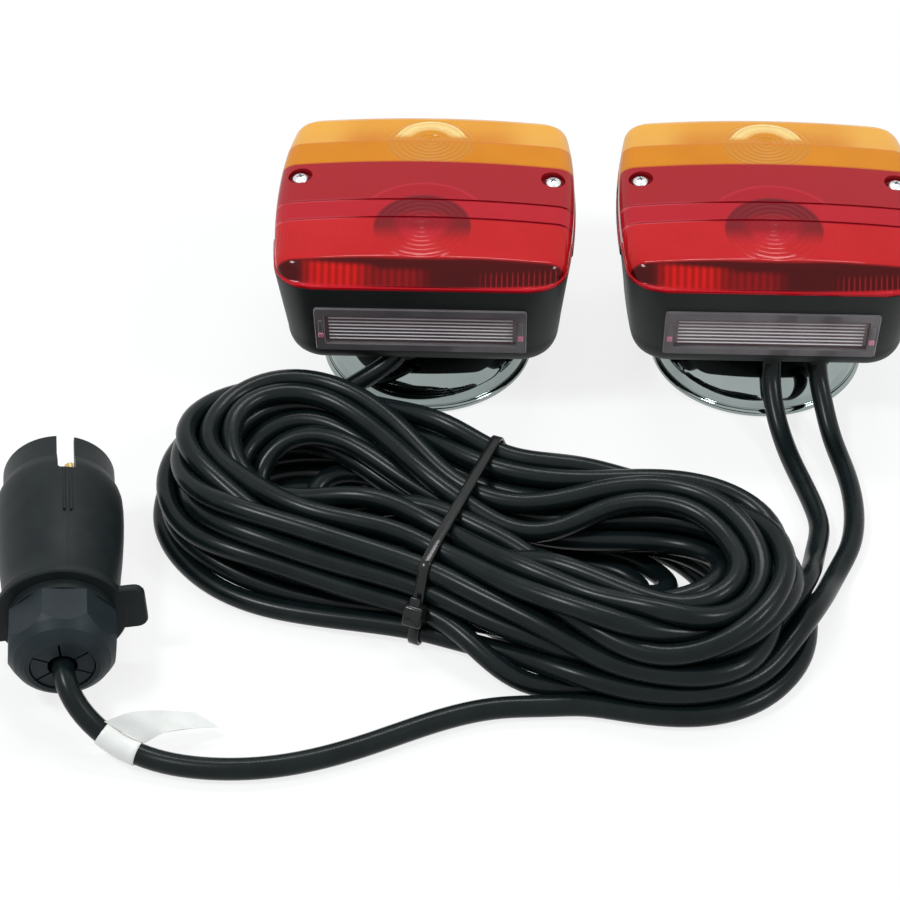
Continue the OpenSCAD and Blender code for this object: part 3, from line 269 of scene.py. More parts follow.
class Bundle:
    """Cables that settle into a hank: kept length, stiffness, contact, the ground and the tie."""

    def __init__(self, cords, fixed, easy, stiff):
        ends = np.cumsum([0] + [len(c) for c in cords])
        self.ranges = list(zip(ends[:-1], ends[1:]))
        self.x = np.vstack(cords)
        self.free = np.where(np.concatenate(fixed), 0.0, 1.0)
        self.seg = np.concatenate([np.arange(a, b - 1) for a, b in self.ranges])
        self.inner = np.concatenate([np.arange(a + 2, b - 2) for a, b in self.ranges])
        odd = np.concatenate([np.arange(b - a - 1) % 2 for a, b in self.ranges])
        self.sets = [np.nonzero(odd == k)[0] for k in (0, 1)]
        self.rest = np.concatenate([np.linalg.norm(np.diff(c, axis=0), axis=1) for c in cords])
        self.easy, self.stiff = np.concatenate(easy), np.concatenate(stiff)

    def find_pairs(self):
        m = ((self.x[self.seg] + self.x[self.seg + 1]) / 2).astype(np.float32)
        sq, reach = (m * m).sum(1), CABLE_D + SEG + 3
        i, j = np.nonzero(np.triu(sq[:, None] + sq[None] - 2 * m @ m.T < reach * reach, 4))
        held = self.free[self.seg] + self.free[self.seg + 1] == 0
        keep = ~(held[i] & held[j])
        self.pairs = i[keep], j[keep]

    def keep_lengths(self):
        x = self.x
        for s in self.sets:
            i = self.seg[s]
            d = x[i + 1] - x[i]
            length = np.linalg.norm(d, axis=1)
            w0, w1 = self.free[i], self.free[i + 1]
            w = np.where(w0 + w1 > 0, w0 + w1, 1)
            c = ((length - self.rest[s]) / length / w)[:, None] * d
            x[i] += c * w0[:, None]
            x[i + 1] -= c * w1[:, None]

    def ease(self):
        length = np.linalg.norm(self.x[self.seg + 1] - self.x[self.seg], axis=1)
        e = self.easy
        self.rest[e] = np.clip(length[e], 0.55 * SEG, 1.5 * SEG)

    def push_apart(self, gap, relax):
        i, j = self.pairs
        x, a, b = self.x, self.seg[i], self.seg[j]
        s, t, w = nearest(x[a], x[a + 1], x[b], x[b + 1])
        d = np.linalg.norm(w, axis=1)
        m = d < gap
        if not m.any():
            return
        a, b, s, t, w, d = a[m], b[m], s[m], t[m], w[m], np.maximum(d[m], 1e-6)
        share = [(1 - s) * self.free[a], s * self.free[a + 1], (1 - t) * self.free[b], t * self.free[b + 1]]
        total = (1 - s) * share[0] + s * share[1] + (1 - t) * share[2] + t * share[3]
        push = np.where(total > 1e-6, (gap - d) / np.maximum(total, 1e-6), 0)
        where = np.concatenate([a, a + 1, b, b + 1])
        weight = np.concatenate([share[0] * push, share[1] * push, -share[2] * push, -share[3] * push])
        normal = np.concatenate([w / d[:, None]] * 4)
        count = np.maximum(np.bincount(where, weights=np.concatenate(share), minlength=len(x)), 1)
        for k in range(3):
            x[:, k] += relax * np.bincount(where, weights=weight * normal[:, k], minlength=len(x)) / count

    def straighten(self, share=1.0):
        x, i = self.x, self.inner
        b = x[i - 2] - 4 * x[i - 1] + 6 * x[i] - 4 * x[i + 1] + x[i + 2]
        x[i] -= (self.stiff[i] * share * self.free[i])[:, None] * b

    def limit_bend(self):
        x, i = self.x, self.inner
        lap = x[i - 1] - 2 * x[i] + x[i + 1]
        size, most = np.linalg.norm(lap, axis=1), SEG**2 / BEND_R
        m = size > most
        i = i[m]
        c = (1 - most / size[m])[:, None] * lap[m] * 0.25
        x[i] += c * self.free[i][:, None]
        for k in (i - 1, i + 1):
            np.add.at(x, k, -c * 0.5 * self.free[k][:, None])

    def rest_on_ground(self):
        low = (self.x[:, 2] < LIE) & (self.free > 0)
        self.x[low, 2] = LIE

    def pull_tie(self, slack):
        """Keeps the cables inside the tie's ring, whose sides lean in above its foot."""
        x = self.x
        c, s = math.cos(TIE_LEAN), math.sin(TIE_LEAN)
        for side in (-2.0, 2.0):
            u = (x[:, :2] - HANK_LEFT) @ ALONG
            i = self.seg
            a, b = u[i] - TIE_U - side, u[i + 1] - TIE_U - side
            i, a, b = (k[(a * b <= 0) & (abs(b - a) > 1e-6)] for k in (i, a, b))
            t = -a / (b - a)
            p = x[i] * (1 - t)[:, None] + x[i + 1] * t[:, None]
            v, z = (p[:, :2] - HANK_LEFT) @ ACROSS, p[:, 2]
            half = TIE_FOOT - CABLE_R + slack
            lean = np.maximum((abs(v) - half) * c + (z - 6) * s, 0)
            dv = -(lean * c + np.maximum(abs(v) - lean * c - half, 0)) * np.sign(v)
            dz = -lean * s
            dz += np.clip(TIE_LOW + CABLE_R - z - dz, 0, None) - np.clip(z + dz - TIE_HIGH + CABLE_R - slack, 0, None)
            move = np.stack([dv * ACROSS[0], dv * ACROSS[1], dz], 1) / ((1 - t) ** 2 + t**2)[:, None]
            np.add.at(x, i, move * ((1 - t) * self.free[i])[:, None])
            np.add.at(x, i + 1, move * (t * self.free[i + 1])[:, None])

    def keep_form(self):
        """Draws in what stands out of the hank's sloping sides or over its top."""
        x = self.x
        d = x[:, :2] - HANK_LEFT
        u, v = d @ ALONG, d @ ACROSS
        du = u - np.clip(u, 0, SPAN)
        r = np.hypot(du, v)
        most = np.clip(OUTER_R - SLOPE * (x[:, 2] - 4), TOP_R, OUTER_R)
        m = (r > most) & (self.free > 0)
        o = ((r[m] - most[m]) * FORM_PULL / r[m])[:, None]
        x[m, :2] -= o * (du[m, None] * ALONG + v[m, None] * ACROSS)
        m = (x[:, 2] > HANK_TOP) & (self.free > 0)
        x[m, 2] -= (x[m, 2] - HANK_TOP) * FORM_PULL

    def settle(self, steps, rounds):
        for step in range(steps):
            gap = CABLE_D * min(1, 0.45 + 0.55 * step / (0.37 * steps)) + 0.05
            slack = TIE_OPEN * (1 - np.clip((step / steps - 0.12) / 0.7, 0, 1))
            self.x[:, 2] -= SINK * self.free
            if step % 3 == 0:
                self.find_pairs()
            for n in range(rounds):
                self.straighten()
                self.keep_lengths()
                self.push_apart(gap, 1.3)
                self.pull_tie(slack)
                self.rest_on_ground()
                if n % 3 == 0:
                    self.keep_form()
                if n % 3 == 1:
                    self.limit_bend()
            self.ease()
        for step in range(60):
            if step % 5 == 0:
                self.find_pairs()
            self.keep_lengths()
            self.push_apart(CABLE_D + 0.05, 1.2)
            self.pull_tie(0)
            self.rest_on_ground()
            self.straighten(0.3)
            self.ease()


def blended(p, around, reach):
    """Smooths a path near some places along it, so that its stretches join in one curve."""
    s = arc_lengths(p)
    near = np.zeros(len(p))
    for a in around:
        near = np.maximum(near, np.clip(1.4 - abs(s - a) / reach, 0, 1))
    for _ in range(60):
        q = p.copy()
        q[1:-1] += (0.5 * near[1:-1])[:, None] * ((p[:-2] + p[2:]) / 2 - p[1:-1])
        p = q
    return p


def wound_cords():
    rng = np.random.default_rng(3)
    wound = {name: winding(turns, rng) for name, turns in (("link", LINK_TURNS), ("main", MAIN_TURNS))}
    parts = []
    # Route, turns, route; points cut off where they join; how much of each route may move.
    for first, turns, last, cut, free_first, free_last in (
        (MAIN_ROUTE, "main", PLUG_ROUTE, (16, 14), 28, 22),
        (LINK_ROUTE, "link", LEFT_ROUTE, (10, 14), 28, 30),
    ):
        a, b = curve_through(first), curve_through(last)[::-1]
        la, lb = arc_lengths(a)[-1], arc_lengths(b)[-1]
        p = resampled(np.vstack([a[:-cut[0]], wound[turns], b[cut[1]:]]), SEG)
        p = resampled(blended(p, (la - 12, arc_lengths(p)[-1] - lb + 12), 25), SEG)
        s = arc_lengths(p)

        def near_ends(more_first, more_last):
            return (s < la + more_first) | (s > s[-1] - (lb + more_last))

        parts.append((p, near_ends(-free_first, -free_last), near_ends(35, 35)[:-1],
                      np.where(near_ends(25, 25), STIFF_END, STIFF)))
    bundle = Bundle(*zip(*parts))
    bundle.settle(*(((240, 8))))
    return [bundle.x[a:b] for a, b in bundle.ranges]


def tube(name, path, r, sides=14, **kw):
    """Closed tube of radius r along a path."""
    ahead = np.gradient(path, axis=0)
    ahead /= np.linalg.norm(ahead, axis=1)[:, None]
    n, normals = np.cross(ahead[0], [0.3, 0.1, 1]), []
    for t in ahead:
        n = n - t * (n @ t)
        n /= np.linalg.norm(n)
        normals.append(n)
    normals = np.array(normals)[:, None]
    a = np.arange(sides)[:, None] * 2 * math.pi / sides
    ring = np.cos(a) * normals + np.sin(a) * np.cross(ahead[:, None], normals)
    return mesh_piece(name, (path[:, None] + r * ring).reshape(-1, 3), grid(len(path), sides), **kw)


def cord_path(p):
    """Smooth path with even steps through a settled cord."""
    q = resampled(curve_through(p, 6), 3.0)
    for _ in range(4):
        q[1:-1] += 0.25 * (q[:-2] + q[2:] - 2 * q[1:-1])
    return q


main_path, link_path = (cord_path(p) for p in wound_cords())
main_cord = tube("main_cable", main_path, CABLE_R, slot="cable_sheath",
                 replaces=("plug_lead", "cable_hank", "right_main_lead"))
link_cord = tube("link_cable", link_path, CABLE_R, slot="cable_sheath",
                 replaces=("right_link_lead", "left_link_lead"))

# ---------------------------------------------------------------- materials


RELIEF = 0.1 * MM


def add_node(tree, kind, inputs=(), **settings):
    """Node with its inputs, by place or by name, set or linked; None leaves one as it is."""
    made = tree.nodes.new("ShaderNode" + kind)
    for key, value in settings.items():
        setattr(made, key, value)
    for key, value in inputs.items() if isinstance(inputs, dict) else enumerate(inputs):
        if isinstance(value, bpy.types.NodeSocket):
            tree.links.new(value, made.inputs[key])
        elif value is not None:
            made.inputs[key].default_value = value
    return made


def material(name, colours, scale, rough, grain=2500, bump=0.15, shine=0.5, clear=0.0, ior=1.5, metal=0.0):
    """Principled shader with clouded colour, uneven roughness and a fine grain."""
    made = bpy.data.materials.new(name)
    made.use_nodes = True
    tree = made.node_tree
    place = add_node(tree, "TexCoord").outputs["Object"]
    cloud = add_node(tree, "TexNoise", {"Vector": place, "Scale": scale, "Detail": 4}).outputs["Fac"]
    speck = add_node(tree, "TexNoise", {"Vector": place, "Scale": grain, "Detail": 2}).outputs["Fac"]
    ramp = add_node(tree, "ValToRGB", (cloud,))
    for stop, at, colour in zip(ramp.color_ramp.elements, (0.32, 0.68), colours):
        stop.position, stop.color = at, (*colour, 1)
    spread = add_node(tree, "MapRange", (speck, 0.3, 0.7, *rough))
    relief = add_node(tree, "Bump", {"Strength": bump, "Distance": RELIEF, "Height": speck})
    shader = tree.nodes["Principled BSDF"].inputs
    for node, socket in ((ramp, "Base Color"), (spread, "Roughness"), (relief, "Normal")):
        tree.links.new(node.outputs[0], shader[socket])
    for socket, value in (("Specular IOR Level", shine), ("Transmission Weight", clear), ("IOR", ior),
                          ("Metallic", metal)):
        shader[socket].default_value = value
    return made


LOOKS = {name: material(name, *row, **more) for name, row, more in (
    ("black_plastic", (((0.011, 0.013, 0.013), (0.015, 0.017, 0.017)), 50, (0.42, 0.52)), dict(shine=0.2)),
    ("white_plastic", (((0.7, 0.7, 0.67), (0.78, 0.78, 0.76)), 40, (0.4, 0.5)), {}),
    ("black_rubber", (((0.008, 0.008, 0.008), (0.014, 0.014, 0.014)), 80, (0.6, 0.75)), dict(shine=0.2)),
    ("zinc_steel", (((0.62, 0.64, 0.66), (0.78, 0.79, 0.8)), 300, (0.22, 0.36)), dict(metal=1.0)),
    ("ferrite", (((0.03, 0.03, 0.034), (0.05, 0.05, 0.055)), 300, (0.55, 0.7)), {}),
    ("chrome", (((0.24, 0.29, 0.28), (0.32, 0.37, 0.36)), 30, (0.03, 0.07)), dict(bump=0.01, metal=1.0)),
    ("bulb_glass", (((0.9, 0.9, 0.9), (0.95, 0.95, 0.95)), 30, (0.02, 0.04)), dict(bump=0.01, clear=0.9)),
    ("brass", (((0.66, 0.45, 0.16), (0.8, 0.6, 0.28)), 400, (0.22, 0.4)), dict(metal=1.0)),
    ("clear_window", (((0.2, 0.18, 0.19), (0.3, 0.27, 0.28)), 60, (0.06, 0.14)),
     dict(bump=0.03, clear=0.5, ior=1.49, shine=0.2)),
    ("window_pane", (((0.28, 0.18, 0.19), (0.38, 0.26, 0.27)), 45, (0.06, 0.12)),
     dict(bump=0.02, clear=0.5, ior=1.49, shine=0.15)),
    # Painted highlight: the clear ribs are given a pale colour for the light they catch.
    ("window_ribs", (((0.8, 0.77, 0.79), (0.9, 0.88, 0.89)), 60, (0.1, 0.2)),
     dict(bump=0.02, clear=0.1, ior=1.49, shine=0.2)),
    ("pink_tab", (((0.55, 0.16, 0.24), (0.7, 0.25, 0.34)), 200, (0.2, 0.35)), dict(bump=0.05)),
    ("plug_plastic", (((0.009, 0.012, 0.013), (0.013, 0.017, 0.018)), 120, (0.42, 0.52)),
     dict(grain=1800, bump=0.2, shine=0.12)),
    ("insert_plastic", (((0.012, 0.013, 0.015), (0.018, 0.02, 0.022)), 90, (0.5, 0.6)), dict(shine=0.15)),
    ("gland_plastic", (((0.010, 0.016, 0.019), (0.015, 0.022, 0.025)), 120, (0.4, 0.5)),
     dict(grain=1800, shine=0.15)),
    ("cable_sheath", (((0.003, 0.006, 0.0065), (0.006, 0.010, 0.0105)), 90, (0.24, 0.28)),
     dict(grain=500, bump=0.012, shine=0.16)),
    ("tie_plastic", (((0.005, 0.006, 0.006), (0.009, 0.01, 0.01)), 150, (0.16, 0.24)), dict(bump=0.03, shine=0.3)),
    ("label_film", (((0.68, 0.68, 0.65), (0.76, 0.76, 0.73)), 120, (0.3, 0.42)), dict(bump=0.1)),
)}

# Lens details that the shapes and the materials share, in the lamp's own frame
LINES_Y, LINE_HALF, LINE_DEEP = (-11.5, -21.6), 0.45, 0.45
STOP_AT, INDICATOR_AT, DISC_R = (0.0, -26.4), (0.5, 25.4), 13.8


class Painter:
    """Layers of colour over a material, placed in millimetres in the lamp's own frame."""

    def __init__(self, name, colours):
        self.made = material(name, colours, 45, (0.07, 0.13), bump=0.02, clear=0.22, ior=1.49, shine=0.07)
        self.tree = self.made.node_tree
        self.shader = self.tree.nodes["Principled BSDF"].inputs
        self.colour = self.shader["Base Color"].links[0].from_socket
        self.place = self.node("Attribute", attribute_name="place").outputs["Vector"]
        self.x, self.y, self.z = self.node("SeparateXYZ", self.place).outputs

    def node(self, kind, *values, **settings):
        return add_node(self.tree, kind, values, **settings)

    def fade(self, value, start, end):
        """0 before start and 1 after end, smooth between; start may be the larger."""
        turn = start > end
        return self.node("MapRange", value, min(start, end), max(start, end), float(turn), float(not turn),
                         interpolation_type="SMOOTHSTEP").outputs[0]

    def distance(self, x, y, flat=1.0):
        """Distance from an upright axis; flat squeezes it along y."""
        moved = self.node("VectorMath", self.place, (x, y, 0), operation="SUBTRACT").outputs[0]
        scaled = self.node("VectorMath", moved, (1, flat, 0), operation="MULTIPLY").outputs[0]
        return self.node("VectorMath", scaled, operation="LENGTH").outputs["Value"]

    def math(self, operation, *values):
        return self.node("Math", *values, operation=operation).outputs[0]

    def times(self, *values):
        out = values[0]
        for value in values[1:]:
            out = self.math("MULTIPLY", out, value)
        return out

    def layer(self, strength, mask, colour):
        """Mixes a colour over what lies below, by a strength where the mask is 1."""
        self.colour = self.node("MixRGB", self.times(mask, strength), self.colour, (*colour, 1)).outputs[0]

    def waves(self, value, pitch):
        return self.math("SINE", self.math("MULTIPLY", value, 2 * math.pi / pitch))

    def finish(self, *waves):
        """Links the colour, and a relief that is the sum of waves, each times its height."""
        height = self.math("ADD", *(self.times(wave, high) for wave, high in waves))
        below = self.shader["Normal"].links[0].from_socket
        relief = self.node("Bump")
        for socket, value in (("Height", height), ("Normal", below)):
            self.tree.links.new(value, relief.inputs[socket])
        relief.inputs["Strength"].default_value, relief.inputs["Distance"].default_value = 1.0, RELIEF
        self.tree.links.new(self.colour, self.shader["Base Color"])
        self.tree.links.new(relief.outputs[0], self.shader["Normal"])
        return self.made


def red_look():
    """Red plastic: the darker band, painted shade of the lamp's inside behind the optic with a painted lit spot below
    it, painted light and shade on the near wall and the scribed lines, rings and flutes.
    """
    p = Painter("red_lens", ((0.53, 0.010, 0.012), (0.57, 0.014, 0.018)))
    x, y, z, fade, times, layer, r = p.x, p.y, p.z, p.fade, p.times, p.layer, p.distance(*STOP_AT)
    upper = fade(y, -12.2, -11.2)
    layer(0.55, fade(y, -22.0, -21.2), (0.44, 0.012, 0.03))
    layer(0.8, times(upper, fade(r, 23.6, 24.6)), (0.37, 0.014, 0.02))
    layer(0.45, times(upper, fade(r, 24.6, 23.6)), (0.34, 0.006, 0.016))
    layer(0.35, times(fade(r, 25.4, 24.6), fade(r, 23.4, 24.2), upper), (0.66, 0.03, 0.06))
    disc_mask = fade(r, 17.9, 16.9)
    # Painted shade: the lamp's dark inside seen through the upper part of the optic, darkest above its middle; below
    # it a painted lit spot.
    layer(0.85, times(disc_mask, fade(y, -35.5, -24.5)), (0.15, 0.007, 0.012))
    layer(0.6, times(fade(p.distance(0, -24.5, 1.4), 12.5, 7.5), fade(y, -15, -21)), (0.38, 0.006, 0.016))
    layer(0.5, times(fade(r, 9.5, 7.5), fade(y, -26, -30)), (0.62, 0.016, 0.03))
    for line in LINES_Y:
        mark = times(fade(y, line - 0.9, line - 0.4), fade(y, line + 0.9, line + 0.4))
        # Painted shade along most of each scribed line and a painted highlight at its left end.
        layer(0.75, times(mark, fade(x, -30, -12)), (0.26, 0.002, 0.01))
        layer(0.6, times(mark, fade(x, -18, -34)), (0.72, 0.12, 0.15))
    # Near wall: painted shade over it; painted light on its flutes, bright on the left, dimmer in the middle, in
    # faint streaks on the right; the lip at the rim kept bright red.
    wall = times(fade(y, -41.8, -43.2), fade(z, 70.2, 69.2))
    stripes = p.math("MULTIPLY_ADD", p.waves(x, 2.6), 0.25, 0.75)
    layer(0.95, wall, (0.05, 0.0005, 0.001))
    layer(0.95, times(wall, stripes, fade(x, -44, -36), fade(x, -13, -25), fade(z, 68.6, 67.2)),
            (0.78, 0.008, 0.006))
    layer(0.8, times(wall, stripes, fade(x, -20, -13), fade(x, 6, -4), fade(z, 68, 66)),
            (0.36, 0.003, 0.006))
    layer(0.5, times(wall, fade(p.waves(x, 1.9), 0.2, 0.9), fade(x, 18, 26), fade(z, 67, 65)),
            (0.45, 0.01, 0.016))
    layer(0.9, times(fade(y, -40, -42), fade(z, 62.9, 62.3)), (0.6, 0.008, 0.018))
    flutes = times(p.waves(x, 1.3), fade(y, -22.5, -24), fade(r, 17.5, 18.5), fade(y, -38.5, -37))
    rings = times(p.waves(r, 2.3), disc_mask)
    return p.finish((flutes, 0.35), (rings, 0.55))


def amber_look():
    """Amber plastic: a far slope made paler with painted sheen, the optic's rings with a painted highlight on its far
    edge, and fine flutes.
    """
    p = Painter("amber_lens", ((0.66, 0.22, 0.001), (0.71, 0.25, 0.002)))
    x, y, z, fade, times, layer, r = p.x, p.y, p.z, p.fade, p.times, p.layer, p.distance(*INDICATOR_AT)
    far = fade(y, 25.0, 26.0)
    # Painted sheen: the far slope paler, palest towards its far corners.
    layer(0.6, times(far, fade(p.math("ABSOLUTE", x), 24, 40)), (0.9, 0.5, 0.08))
    layer(0.5, times(far, fade(y, 26, 40)), (0.88, 0.43, 0.03))
    big = fade(r, 17.2, 16.2)
    layer(0.55, times(big, fade(y, 26, 25)), (0.62, 0.25, 0.03))
    layer(0.3, times(big, far), (0.66, 0.3, 0.05))
    # Painted highlight along the far edge of the raised optic.
    layer(0.9, times(fade(z, 70.35, 70.6), fade(r, 14.2, 13.7), fade(r, 6.5, 10.5), fade(y, 27.5, 31)),
            (0.95, 0.72, 0.3))
    ridge = times(fade(y, 24.5, 25.1), fade(y, 26.3, 25.7))
    layer(0.7, ridge, (0.68, 0.2, 0.01))
    layer(0.55, fade(y, 12.6, 11.9), (0.55, 0.08, 0.01))
    flutes = times(p.waves(p.math("ADD", x, y), 1.3), fade(r, 17.5, 18.5))
    rings = times(p.waves(r, 2.1), big)
    return p.finish((flutes, 0.25), (rings, 0.9))


LOOKS["red_lens"], LOOKS["amber_lens"] = red_look(), amber_look()


def finish_with(piece, look):
    piece.data.materials.clear()
    piece.data.materials.append(LOOKS[look])


for look, names in {
    "black_plastic": "housing", "white_plastic": "bulb_carrier terminal_block",
    "black_rubber": "magnet_pad magnet_spacer cable_grommets lens_gasket",
    "zinc_steel": "pole_plate magnet_bolt magnet_nut stop_socket indicator_socket lens_screws",
    "ferrite": "ring_magnet", "chrome": "magnet_cup", "bulb_glass": "stop_bulb indicator_bulb",
    "brass": "stop_cap indicator_cap", "red_lens": "red_lens", "amber_lens": "amber_lens",
    "clear_window": "plate_window",
}.items():
    for name in names.split():
        for word in ("left_", "right_"):
            finish_with(NODES[word + name], look)
for name, look in {
    "plug_body": "plug_plastic", "plug_insert": "insert_plastic", "contact_pins": "brass",
    "terminal_screws": "zinc_steel", "gland_seal": "black_rubber", "gland_collet": "gland_plastic",
    "gland_nut": "gland_plastic", "cable_tie": "tie_plastic", "cable_label": "label_film",
}.items():
    finish_with(NODES[name], look)
for cord in (main_cord, link_cord):
    finish_with(cord, "cable_sheath")

# ---------------------------------------------------------------- lamps


def dressed(name, points, faces, look, slot=None, reach=0.01, sharp=35, **kw):
    """Piece with its mesh tidied and its look on; its slot, called like its look unless given, is passed on but not
    used.
    """
    piece = mesh_piece(name, points, faces, slot=slot or look, **kw)
    if reach:
        tidy(piece, reach, sharp)
    finish_with(piece, look)
    return piece


def on_lamp(side, solid):
    """Solid of a lamp's own frame, placed."""
    return at_lamp(side, solid[0]), solid[1]


def cup(side, word):
    """Chrome cup of a magnet foot: a dome, a rolled rim and the inner wall."""
    crown, rim, bead, high, wall = 22.0, 40.0, 1.5, 17.0, 1.2

    def arch(less, steps):
        return [(crown + (rim - bead - crown - less) * math.sin(a), 2 * bead + (high - 2 * bead - less) * math.cos(a))
                for a in steps]

    quarter = math.pi / 2
    roll = [(rim - bead + bead * math.cos(a), bead + 0.2 + bead * math.sin(a))
            for a in np.radians(np.linspace(75, -195, 24))]
    profile = [(BOLT_R, high), (crown - 1.5, high)] + arch(0, np.linspace(0, quarter, 44)) + roll
    profile += arch(wall, np.linspace(quarter, 0, 12)) + [(BOLT_R, high - wall)]
    dressed(word + "_magnet_cup_bright", *on_lamp(side, revolved(profile, 160, (0, MAGNET_Y))), "chrome", reach=0,
            replaces=(word + "_magnet_cup",))


# Lamp seen from above: round corners and sides that bow out
LENS_W, LENS_H, CORNER, BOW = 109.0, 101.0, 14.0, 4.4
LENS_TOP, RIM_Z, SIDE_RIM_Z, RIM_Y, PARTING_Y = 72.0, 61.0, 57.0, -24.0, 11.5
LENS_WALL, LENS_ROW, ARCH, SHOULDER = 2.2, 1.1, 2.4, 6.0
FALL_Y = (-50.5, -45, -43.6, -42.2, -40, -21.7, -11.6, 11.6, 25.2, 25.8, 43.4, 46, 50.5)
FALL = (9.2, 3.7, 2.6, 1.95, 1.7, 0.5, 0.1, 0, 0.55, 0.7, 3.4, 4.6, 9)
SCREW_X, SCREW_Y, POCKET_R, POCKET_Z = 46.5, 4.5, 4.5, 66.8
BODY_W, BODY_H, DRAFT, BODY_WALL = 110.2, 102.2, 7.0, 2.2
WINDOW_W, WINDOW_H, WINDOW_Z, OPEN_W, OPEN_H = 76.0, 21.5, 41.5, 70.0, 16.6
LAMPS, ENTRIES = ((-1, "left"), (1, "right")), {-1: (-6,), 1: (2.5, 19)}
MAGNET_Y, BOLT_R, ARCH_HALF, FOOT = -8, 3.2, 48.5, 8


def bowed(w, h, r):
    """For half-sizes w and h and corners r: how much a side bows, and its corner's lean, start and centre."""
    bow = BOW / (LENS_H / 2) ** 2
    lean = math.atan(2 * bow * (h - r))
    turn_y = h - r + r * math.sin(lean)
    return bow, lean, turn_y, w - bow * turn_y**2 - r * math.cos(lean)


def half_width(y, inset=0.0):
    """Half the lens's width at y."""
    w, h, r = LENS_W / 2 - inset, LENS_H / 2 - inset, CORNER - inset
    bow, _, turn_y, cx = bowed(w, h, r)
    deep = np.clip(np.abs(y) - (h - r), 0, r)
    return np.where(np.abs(y) < turn_y, w - bow * y * y, cx + np.sqrt(np.maximum(r * r - deep**2, 0)))


def lens_height(x, y, w):
    """Height of the lens's face, which arches, falls to its edges and is cut by the two scribed lines."""
    z = LENS_TOP - np.interp(y, FALL_Y, FALL) - ARCH * (x / ARCH_HALF) ** 2
    edge = np.clip((w - np.abs(x)) / SHOULDER, 0, 1)
    z -= 4.2 * (1 - np.sqrt(1 - (1 - edge) ** 2)) * np.clip((z - SIDE_RIM_Z - 4) / 6, 0.12, 1)
    for line in LINES_Y:
        z -= LINE_DEEP * (np.abs(y - line) < LINE_HALF) * (w - np.abs(x) > 2.5)
    return z


def carve(piece, tool, operation="DIFFERENCE"):
    """Boolean of one mesh with another, kept as the piece's mesh."""
    step = piece.modifiers.new("carve", "BOOLEAN")
    step.operation, step.object, step.solver = operation, tool, "EXACT"
    done = bpy.data.meshes.new_from_object(piece.evaluated_get(bpy.context.evaluated_depsgraph_get()))
    piece.modifiers.remove(step)
    piece.data = done
    bpy.data.objects.remove(tool)


def post(side, x, y, r, low, high, sides=48):
    """Cutter: an upright round post in a lamp's own frame."""
    a = np.arange(sides) * 2 * math.pi / sides
    ring = np.stack([x + r * np.cos(a), y + r * np.sin(a)], 1)
    return mesh_piece("post", *on_lamp(side, layered([(ring, low), (ring, high)])), ride=False)


def tidy(piece, reach=0.01, sharp=35):
    """Merges doubled points, turns the faces outwards, and keeps edges above an angle sharp."""
    form = bmesh.new()
    form.from_mesh(piece.data)
    bmesh.ops.remove_doubles(form, verts=form.verts, dist=reach * MM)
    bmesh.ops.dissolve_degenerate(form, edges=form.edges, dist=reach * MM)
    bmesh.ops.recalc_face_normals(form, faces=form.faces)
    for face in form.faces:
        face.smooth = True
    for edge in form.edges:
        if len(edge.link_faces) == 2 and edge.calc_face_angle(0) > math.radians(sharp):
            edge.smooth = False
    form.to_mesh(piece.data)
    form.free()


def keep_whole(piece):
    """Keeps the largest joined part of a mesh and drops the splinters that a boolean left."""
    form = bmesh.new()
    form.from_mesh(piece.data)
    left, parts = set(form.verts), []
    while left:
        part, front = set(), [next(iter(left))]
        while front:
            vert = front.pop()
            if vert in left:
                left.remove(vert)
                part.add(vert)
                front += [edge.other_vert(vert) for edge in vert.link_edges]
        parts.append(part)
    for part in sorted(parts, key=len)[:-1]:
        bmesh.ops.delete(form, geom=list(part), context="VERTS")
    form.to_mesh(piece.data)
    form.free()


def mark_places(piece, side):
    """Keeps each point's place in the lamp's own frame, in millimetres, for the materials."""
    p = np.empty(len(piece.data.vertices) * 3)
    piece.data.vertices.foreach_get("co", p)
    p = p.reshape(-1, 3) / MM
    c, s = math.cos(LAMP_YAW), math.sin(LAMP_YAW)
    dx, dy = p[:, 0] - side * LAMP_PITCH / 2, p[:, 1] + side * LAMP_STAGGER / 2
    places = piece.data.attributes.new("place", "FLOAT_VECTOR", "POINT")
    places.data.foreach_set("vector", np.stack([dx * c + dy * s, dy * c - dx * s, p[:, 2]], 1).ravel())


